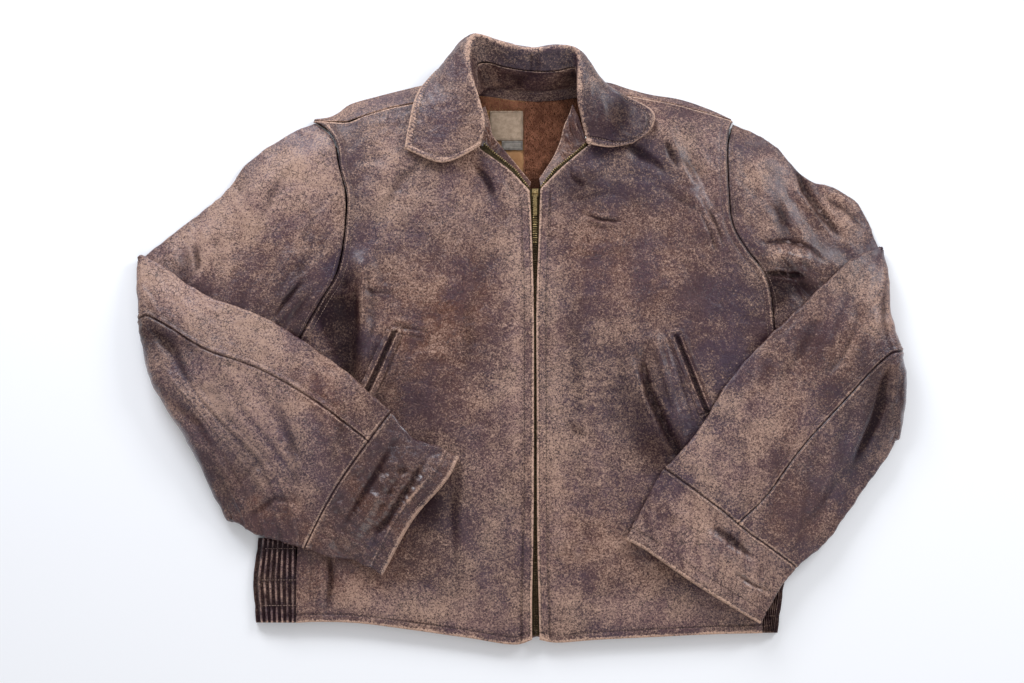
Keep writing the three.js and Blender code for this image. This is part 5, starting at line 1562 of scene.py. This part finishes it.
stand = lines[0][None] + (lines[1] - lines[0])[None] * (0.985 * v)[:, None, None]
around = np.concatenate([[0], np.cumsum(np.linalg.norm(np.diff(lines[1], axis=0), axis=1))])
stand_normal = normals_of(stand)
if (stand_normal * (stand - np.array([0, 240, 20]))).sum() > 0:
    stand_normal = -stand_normal
vv, aa = np.meshgrid(v, around, indexing="ij")
pleat = 0.7 * np.sin(aa / 9.0 + 2 * unevenness(aa, vv * 30, 40, 9)) * np.sin(np.pi * vv)
pleat = pleat + 0.4 * unevenness(aa, vv * 40, 9, 4)
outer = stand + stand_normal * (pleat * np.clip(np.minimum(vv, 1 - vv) * 8, 0, 1))[..., None]
# The dark mark paints shade in the pleat troughs
marks = dict(rubbed=0.2 + 0.3 * np.clip(pleat, 0, 1), gloss=0.5, dark=0.2 + 0.5 * np.clip(-pleat, 0, 1),
             russet=0.25,
             edge=0.6 * bell(vv, 0.05, 1))
piece = leather("collar_stand_hide", trimmed(outer), trimmed(stand - stand_normal * HIDE), marks)
rides(piece, "collar_stand")

v = np.linspace(0, 1, 67)
fall = np.array([spline(lines[1:5, k], 0.012 + 0.988 * v) for k in range(stations + 1)]).swapaxes(0, 1)
shoulder_tree = tree_of([*fronts.values(), back_top])
for j in range(len(v)):
    if v[j] > 0.34:
        for k in range(stations + 1):
            resting = height_on(shoulder_tree, fall[j, k, 0], fall[j, k, 1]) + COLLAR_HIDE + 1.2
            fall[j, k, 2] = max(fall[j, k, 2], resting)


def down_run_of(grid):
    steps = np.linalg.norm(np.diff(grid, axis=0), axis=-1)
    return np.concatenate([np.zeros((1, grid.shape[1])), np.cumsum(steps, axis=0)])


fall_normal = normals_of(fall)
x0 = fall[..., 0]
roll_run = down_run_of(fall)[len(v) // 3][None]
inside_back = smoothstep(roll_run - down_run_of(fall), 2, 9) * smoothstep(fall[..., 1], 296, 308)
centre_seam = bell(x0, 1.5, -4) + 0.7 * bell(x0, 4, 3)
if (fall_normal[40, 20:60, 2]).sum() < 0:
    fall_normal = -fall_normal
down_run = down_run_of(fall)
from_edge = down_run[-1] - down_run
along_run = np.cumsum(np.linalg.norm(np.diff(fall, axis=1, prepend=fall[:, :1]), axis=-1), axis=1)
from_end = np.minimum(along_run, along_run[:, -1:] - along_run)
rim = np.minimum(from_edge, from_end)
slack = np.clip(rim / 10, 0, 1) * crumple(along_run, down_run, 33, 20, 0.8)
ladder = np.clip(np.sin(along_run * 2 * np.pi / 4.2), 0, 1) * smoothstep(x0, -60, -75) * bell(rim, 4, 6)
lift = slack - 1.2 * inside_back * centre_seam + 0.45 * bell(rim, 2.2, 3)
lift = lift - 0.45 * bell(rim, 1.4, 8) - 0.3 * ladder
outer = fall + fall_normal * lift[..., None]
x, y = fall[..., 0], fall[..., 1]
# Darker patches on the left wing, and painted shade inside the roll at the back, deepest on its centre seam
marks = dict(
    rubbed=0.18 + patches([((-110, 260), (40, 40), 0, 0.12), ((-90, 300), (30, 30), 0, 0.15),
                           ((-120, 215), (30, 12), 0, 0.3)], x, y),
    gloss=0.4 + patches([((-100, 255), (40, 40), 0, 0.35), ((90, 260), (40, 40), 0, 0.5)], x, y),
    dark=patches([((90, 250), (50, 50), 0, 0.5), ((98, 262), (10, 26), -12, 0.5)], x, y)
    + inside_back * (0.25 + 0.5 * centre_seam),
    russet=patches([((-100, 240), (50, 40), 0, 0.3), ((80, 250), (30, 20), 0, 0.3)], x, y),
    edge=bell(rim, 3.0) + 0.62 * bell(down_run, 6, roll_run) + 0.4 * bell(rim, 2.5, 6) + 0.5 * ladder)
marks["rubbed"] += 0.12 * slack
# Painted shade in the groove of the inner stitch row
marks["dark"] += 0.5 * bell(rim, 1.0, 9)
piece = leather("collar_fall_hide", trimmed(outer), trimmed(fall - fall_normal * COLLAR_HIDE), marks)
rides(piece, "collar_fall")


# The row at a distance inside the collar's outer edge, from end to end
def rim_row(distance):
    sides = []
    for measured in (along_run, along_run[:, -1:] - along_run):
        rows = [j for j in range(8, len(v)) if from_edge[j, stations // 2] > distance]
        order = 1 if measured is along_run else -1
        at = [np.interp(distance, measured[j][::order], np.arange(stations + 1)) for j in rows]
        at = at if order > 0 else [stations - a for a in at]
        kept = [(j, a) for j, a in zip(rows, at) if from_edge[j, int(round(a))] > distance]
        sides.append(kept)
    first, last = sides[0][-1][1], sides[1][-1][1]
    bottom = [(np.interp(-distance, -from_edge[:, k], np.arange(len(v))), k)
              for k in range(int(first) + 1, int(last))]
    path = np.array(sides[0] + bottom + sides[1][::-1], float)
    return on_grid(outer, path[:, 0], path[:, 1], fall_normal, False)


sewn("collar_stitching", [rim_row(3.0), rim_row(8.5)], TAN_THREAD)

# Lining
# Rust-brown wool pile on a knitted backing, in two parts sewn together left of the middle. Below
# the label the right part changes to a plain tan twill. The pile leans towards the hem.
LINING_SEAM = -11
LINING_EDGE = [[-70, 296], [-50, 294], [-26, 290], [4, 288], [30, 290], [49, 293], [66, 292]]
BACKING_TOP = 4.1
BACKING = 1.5
LINING_ROWS = 73
LINING_COLUMNS_PER_METRE = 500
PILE_PER_M2 = 1.15e6
PILE_LENGTH = 4.6

pile_tree, pile_inputs, pile_in, pile_out = instance_tree(
    "pile on a backing",
    [("Per square metre", "Float", PILE_PER_M2), ("Tuft", "Object", None), ("Finish", "Material", None),
     ("Seed", "Int", 3)])
share = live(step_node(pile_tree, "GeometryNodeInputNamedAttribute", [("Name", "pile")], data_type="FLOAT"))
thick_here = step_node(pile_tree, "ShaderNodeMath", [(0, share), (1, pile_in.outputs["Per square metre"])],
                       operation="MULTIPLY")
roots = step_node(pile_tree, "GeometryNodeDistributePointsOnFaces",
                  [("Mesh", pile_in.outputs["Geometry"]), ("Density", thick_here.outputs[0]),
                   ("Seed", pile_in.outputs["Seed"])])
sway = step_node(pile_tree, "FunctionNodeRandomValue",
                 [(0, (-0.3, -0.25, -0.75)), (1, (0.3, 0.25, 0.75)), ("Seed", 8)],
                 data_type="FLOAT_VECTOR")
growth = step_node(pile_tree, "FunctionNodeRandomValue", [("Min", 0.6), ("Max", 1.25), ("Seed", 9)],
                   data_type="FLOAT")
tuft_in = step_node(pile_tree, "GeometryNodeObjectInfo", [("Object", pile_in.outputs["Tuft"])])
grown_pile = step_node(pile_tree, "GeometryNodeInstanceOnPoints",
                       [("Points", roots.outputs["Points"]), ("Instance", tuft_in.outputs["Geometry"])])
pile_tree.links.new(live(sway), grown_pile.inputs["Rotation"])
pile_tree.links.new(live(growth), grown_pile.inputs["Scale"])
hand_out(pile_tree, grown_pile, pile_in.outputs["Finish"], pile_out)

# One tuft: a bent three-sided spike that leans towards the hem
tuft_rings = [(0.0, -0.2, 0.36), (-1.0, 1.1, 0.32), (-2.6, 1.9, 0.22)]
tuft_points = [(half * math.cos(a), y + half * math.sin(a) * 0.4, z) for y, z, half in tuft_rings
               for a in (math.pi / 2, math.pi * 7 / 6, math.pi * 11 / 6)] + [(0, -PILE_LENGTH, 2.0)]
tuft_faces = [(3 * n + k, 3 * n + (k + 1) % 3, 3 * n + 3 + (k + 1) % 3, 3 * n + 3 + k) for n in range(2)
              for k in range(3)]
tuft_faces += [(6, 7, 9), (7, 8, 9), (8, 6, 9)]
tuft = put("tuft", smooth_mesh("tuft", tuft_points, tuft_faces))


# Colours are (raised, deep); the weave is given as threads and depth
def cloth_finish(name, colours, roughness, cloud_scale, weave_scale=0.0, weave_depth=0.0, grime=0.0):
    material, tree, shader = new_finish(name)
    place = node(tree, "TexCoord").outputs["Object"]
    light, deep = colours
    cloudy = ramp(tree, noise(tree, place, cloud_scale, 4.0, 0.65), 0.32, 0.68)
    colour = blend_colour(tree, cloudy, light, deep)
    if grime:
        specks = ramp(tree, noise(tree, place, 700.0, 2.0, 0.7), 0.55, 0.7)
        colour = blend_colour(tree, times(tree, specks, grime), colour, deep)
    shadow = node(tree, "Attribute", attribute_name="dark").outputs["Fac"]
    colour = blend_colour(tree, shadow, colour, tuple(c * 0.22 for c in deep[:3]) + (1,))
    tree.links.new(colour, shader.inputs["Base Color"])
    shader.inputs["Roughness"].default_value = roughness
    shader.inputs["Specular IOR Level"].default_value = 0.15
    if weave_scale:
        warp_way = node(tree, "TexWave", [("Vector", place), ("Scale", weave_scale)],
                        bands_direction="X").outputs["Fac"]
        weft_way = node(tree, "TexWave", [("Vector", place), ("Scale", weave_scale)],
                        bands_direction="Y").outputs["Fac"]
        bump = node(tree, "Bump", [("Height", plus(tree, warp_way, weft_way)), ("Distance", weave_depth)])
        tree.links.new(bump.outputs["Normal"], shader.inputs["Normal"])
    return material


RUST_WOOL = ((0.52, 0.215, 0.12, 1), (0.21, 0.078, 0.045, 1))
KNIT_BROWN = ((0.12, 0.05, 0.03, 1), (0.07, 0.028, 0.018, 1))
TWILL_TAN = ((0.60, 0.33, 0.15, 1), (0.42, 0.20, 0.085, 1))
PILE_WOOL = cloth_finish("rust wool pile", RUST_WOOL, 0.85, 90.0, grime=0.4)
PILE_BACKING = cloth_finish("knitted backing", KNIT_BROWN, 0.9, 60.0, 900.0, 0.0002)
TAN_TWILL = cloth_finish("tan twill", TWILL_TAN, 0.75, 50.0, 1100.0, 0.00015, 0.3)


def places_of(piece):
    return np.array([p.co for p in piece.data.vertices]) / MM


# A wall of cloth with a level underside, so many millimetres below its top
def cloth(name, outer, thickness, material):
    return wall(name, outer, outer - np.array([0, 0, thickness]), {}, material)


for label, start, stop, width in (("right", -70, LINING_SEAM, 0.059), ("left", LINING_SEAM, 66, 0.077)):
    v, u = unit_grid(LINING_ROWS, int(width * LINING_COLUMNS_PER_METRE))
    x = start + (stop - start) * u
    y = 150 + (table_at(LINING_EDGE, x) - 150) * v
    seam_dip = bell(x, 2.5, LINING_SEAM)
    z = BACKING_TOP + 0.35 * unevenness(x, y, 22, 14) - 0.5 * seam_dip
    outer = trimmed(np.dstack([x, y, z]))
    finish = TAN_TWILL if label == "right" else PILE_BACKING
    piece = cloth("lining_cloth_" + label, outer, BACKING, finish)
    co = places_of(piece)
    px, py = co[:, 0], co[:, 1]
    # Painted shade, darker towards the bottom and the left side; a darker line along the seam
    dark = 0.75 * smoothstep(py, 196, 168) + 0.5 * smoothstep(px, 26, 52) + 0.5 * bell(px, 1.6, LINING_SEAM)
    set_mark(piece.data, "dark", np.clip(dark, 0, 0.9))
    under_label = smoothstep(px, -10.5, -12.5) * smoothstep(py, 281, 277)
    opening = smoothstep(py, 164, 172)
    set_mark(piece.data, "pile", (1 - under_label) * opening * (co[:, 2] > BACKING_TOP - BACKING + 0.4))
    ground = bpy.data.objects.new("lining_ground", piece.data.copy())
    values = [(pile_inputs["Tuft"], tuft), (pile_inputs["Finish"], PILE_WOOL),
              (pile_inputs["Seed"], 3 if label == "left" else 4),
              (pile_inputs["Per square metre"], PILE_PER_M2)]
    wool = grown("lining_pile_" + label, ground, pile_tree, values)
    wx, wy, wz = places_of(wool).T
    shade = 0.7 * smoothstep(wy, 215, 168) + 0.35 * smoothstep(wx, 15, 50)
    shade += 0.35 * smoothstep(3.6 - wz + 1.4, 0.0, 1.6)
    set_mark(wool.data, "dark", np.clip(shade, 0, 0.85))
    rides(piece, slot="pile")
    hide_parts("lining_" + label)
    rides(wool, slot="pile")
bpy.data.objects.remove(tuft)

# Neck label
# A woven label, sewn to the lining on all sides and left blank, with a small grey tab below it.
LABEL_TOP = 6.1
LABEL_CLOTH = 0.8
LABEL_BEIGE = ((0.56, 0.41, 0.29, 1), (0.38, 0.27, 0.185, 1))
TAB_GREY = ((0.36, 0.32, 0.275, 1), (0.22, 0.19, 0.16, 1))
LABEL_WEAVE = cloth_finish("label weave", LABEL_BEIGE, 0.75, 160.0, 1500.0, 0.00012, 0.35)
TAB_WEAVE = cloth_finish("tab weave", TAB_GREY, 0.8, 200.0, 1500.0, 0.00012, 0.4)
for name, node_name, x0, x1, y0, y1, finish, slot in (
        ("neck_label_cloth", "neck_label", -52, -13, 240, 276, LABEL_WEAVE, "label"),
        ("size_tab_cloth", "size_tab", -38, -13.5, 228.5, 239.6, TAB_WEAVE, "tab")):
    v, u = unit_grid(36, 36)
    fray = 0.25 * unevenness(u * 40, v * 40, 3, 31)
    x = x0 + (x1 - x0) * u + fray * (np.abs(u - 0.5) > 0.49)
    y = y0 + (y1 - y0) * v + fray * (np.abs(v - 0.5) > 0.49)
    z = LABEL_TOP - 0.15 + 0.14 * unevenness(x, y, 9, 17)
    outer = np.dstack([x, y, z])
    piece = cloth(name, outer, LABEL_CLOTH - 0.15, finish)
    co = places_of(piece)
    from_side = np.minimum.reduce([co[:, 0] - x0, x1 - co[:, 0], co[:, 1] - y0, y1 - co[:, 1]])
    shown = np.minimum(x1 - co[:, 0], co[:, 1] - y0)
    dark = 0.55 * bell(from_side, 0.6, 1.6) + 0.5 * bell(shown, 0.7)
    set_mark(piece.data, "dark", np.clip(dark, 0, 0.9))
    rides(piece, node_name, slot=slot)

# Facings
# Thin red-brown leather sewn under each front's edge and folded down inside the neck opening.
# The right one is creased to a point, the left one pleated beside its piped edge.
BELOW_TAPE = HIDE + 1 + 1.1 + 0.6
FACING_HIDE = HIDE - 0.3
FACING_LINES = dict(
    right=([[-8, 168], [-30, 192], [-51, 208], [-62, 222], [-61, 246], [-64, 272]],
           [[-4, 186, 19], [-24, 212, 17], [-39, 231, 16], [-48, 243, 17], [-52, 260, 18], [-57, 278, 19]]),
    left=([[8, 170], [32, 196], [55, 216], [59, 228], [57, 242], [51, 262]],
          [[5, 190, 19], [22, 218, 17], [30, 238, 16], [34, 254, 17], [40, 268, 18], [44, 280, 19]]))
FACING_FOLDS = dict(
    right=[([(-52, 224), (-44, 232), (-40, 244)], 2.2, 2.0),
           ([(-47, 216), (-38, 226), (-30, 220)], 1.8, -1.4),
           ([(-58, 250), (-52, 240), (-50, 228)], 2, 1.3), ([(-30, 206), (-34, 214)], 2, 1.0)],
    left=[([(55, 236), (48, 252), (46, 268)], 1.8, 1.6), ([(50, 232), (43, 248), (41, 262)], 1.6, -1.5),
          ([(44, 226), (38, 242)], 1.8, 1.2), ([(56, 222), (44, 218), (34, 222)], 1.8, 1.3),
          ([(40, 208), (32, 220)], 2, -1.0)])
FACING_CUT = dict(right=(0.13, 0.024, 0.0021), left=(0.13, 0.026, 0.0024))
for label, (high, low) in FACING_LINES.items():
    a, b = along(high), along(low)
    v, u = unit_grid(120, 24)
    top = a(v)
    top[..., 2] = body_height(top[..., 0], top[..., 1]) - BELOW_TAPE
    grid = mix(top, b(v), u)
    x, y = grid[..., 0], grid[..., 1]
    rim = np.clip(np.minimum.reduce([u, 1 - u, v, 1 - v]) * 6, 0, 1)
    folds = rim * (creases(FACING_FOLDS[label], x, y) + 0.4 * unevenness(x, y, 6, 19))
    grid[..., 2] += folds - 0.3
    # The dark mark paints shade in the crease troughs and along the edge that runs under the front
    marks = dict(rubbed=0.05 + 0.1 * np.clip(folds, -1, 1.5), russet=0.9, gloss=0.25,
                 dark=0.25 * np.clip(-folds, 0, 1.5) + 0.2 * (1 - u),
                 edge=0.8 * bell(1 - u, 0.06) + 0.5 * np.clip(folds - 0.5, 0, 1.2))
    outer = trimmed(grid)
    finish = leather_finish("facing " + label, shine=0.8, pebble_scale=1400.0, crack_scale=260.0)
    piece = wall("facing_hide_" + label, outer, outer - np.array([0, 0, FACING_HIDE]), marks, finish)
    rides(piece, "facing_" + label, slot="facing")
    length, width, area = FACING_CUT[label]

# Zip
# Brass teeth clamped on two woven olive tapes that are sewn under the front edges. The slider
# has closed them up to the foot of the neck opening, and the left tape ends in a small top stop.
TAPE_HIDDEN = [[13, -324], [13, -200], [13, -60], [13, 60], [14, 140], [17, 166], [38, 187], [60, 205],
               [72, 217]]
TAPE_SHOWN = [[0.4, -324], [0.4, -200], [0.4, -60], [0.4, 60], [0.4, 140], [0.6, 170], [22, 199], [44, 217],
              [57, 229]]
TAPE = 1.1
TAPE_ROWS, TAPE_COLUMNS = 260, 8
TOOTH_PITCH = 0.0026
STOP_PITCH = 0.0012
# Heights on the jacket up to which the closed teeth get dark brass as painted shade under the front edges,
# and where the slider sits
SHADED_BELOW = 118
SLIDER_FOOT, SLIDER_TOP = 166, 178
TAPE_OLIVE = ((0.115, 0.085, 0.040, 1), (0.055, 0.038, 0.020, 1))
tape_weave = cloth_finish("olive tape weave", TAPE_OLIVE, 0.85, 180.0, 1300.0, 0.0002, 0.4)


def metal_finish(name, colour, dull, roughness):
    material, tree, shader = new_finish(name)
    place = node(tree, "TexCoord").outputs["Object"]
    tarnish = ramp(tree, noise(tree, place, 420.0, 4.0, 0.7), 0.38, 0.66)
    tree.links.new(blend_colour(tree, tarnish, colour, dull), shader.inputs["Base Color"])
    tree.links.new(ramp(tree, tarnish, 0.0, 1.0, roughness, roughness + 0.25), shader.inputs["Roughness"])
    shader.inputs["Metallic"].default_value = 1.0
    scratches = noise(tree, place, 2600.0, 2.0, 0.6)
    bump = node(tree, "Bump", [("Height", scratches), ("Distance", 0.00006)])
    tree.links.new(bump.outputs["Normal"], shader.inputs["Normal"])
    return material


BRASS = metal_finish("aged brass", (0.50, 0.37, 0.17, 1), (0.17, 0.115, 0.055, 1), 0.3)
# Brass darkened as painted shade, for the closed teeth under the front edges
SHADED_BRASS = metal_finish("shaded brass", (0.13, 0.09, 0.05, 1), (0.04, 0.027, 0.016, 1), 0.55)
NICKEL = metal_finish("worn nickel", (0.70, 0.69, 0.66, 1), (0.34, 0.33, 0.32, 1), 0.25)
TOOTH_RINGS = [(-0.62, 1.0, -0.2, 0.9), (-0.5, 1.55, -0.2, 1.25), (0.5, 1.55, -0.2, 1.25),
               (0.62, 1.0, -0.2, 0.9)]
tooth = unit_shape("tooth", TOOTH_RINGS)
for side_name, half in HALVES.items():
    out = half["side"]
    tape_lines = [[[out * x, y] for x, y in line] for line in (TAPE_HIDDEN, TAPE_SHOWN)]
    coarse = np.array([[spline(line, np.array(k / 8.0)) for line in tape_lines] for k in range(9)])
    v, u = unit_grid(TAPE_ROWS, TAPE_COLUMNS)
    station = v * 8
    j = np.minimum(station.astype(int), 7)
    w = (station - j)[..., None]
    ends = coarse[j] * (1 - w[..., None]) + coarse[j + 1] * w[..., None]
    grid = ends[:, :, 0] * (1 - u[..., None]) + ends[:, :, 1] * u[..., None]
    grid[..., 2] = body_height(grid[..., 0], grid[..., 1]) - HIDE - 1
    piece = cloth("zip_tape_cloth_" + side_name, grid, TAPE - 0.1, tape_weave)
    rides(piece, "zip_tape_" + side_name, slot="tape")
    edge_line = grid[:, -1] + np.array([out * 0.75, 0, 0.1])
    up = np.tile(np.array([0.0, 0.0, 1.0]), (len(edge_line), 1))
    y = edge_line[:, 1]
    # The closed teeth low on the jacket take the brass in painted shade
    for part, picked, finish in (
            ("closed", y < SHADED_BELOW, SHADED_BRASS), ("top", (y > 112) & (y < SLIDER_FOOT), BRASS),
            ("open", y > SLIDER_TOP, BRASS)):
        row = edge_line[picked]
        teeth = in_rows("zip_teeth_%s_%s" % (part, side_name), [(row, up[:len(row)])], tooth, finish,
                        TOOTH_PITCH)
        rides(teeth, slot="brass")
stop_line = np.array([[58.4, 233.4, 36.0], [62.4, 228.8, 36.0]])
top_stop = in_rows("zip_top_stop_left", [(stop_line, np.array([[0.0, 0.0, 1.0]] * 2))], tooth, NICKEL,
                   STOP_PITCH)
rides(top_stop, slot="brass")
bpy.data.objects.remove(tooth)
bpy.data.objects.remove(stitch)
for name in ("zip_slider", "zip_pull"):
    for slot_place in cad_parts[name].material_slots:
        slot_place.material = BRASS
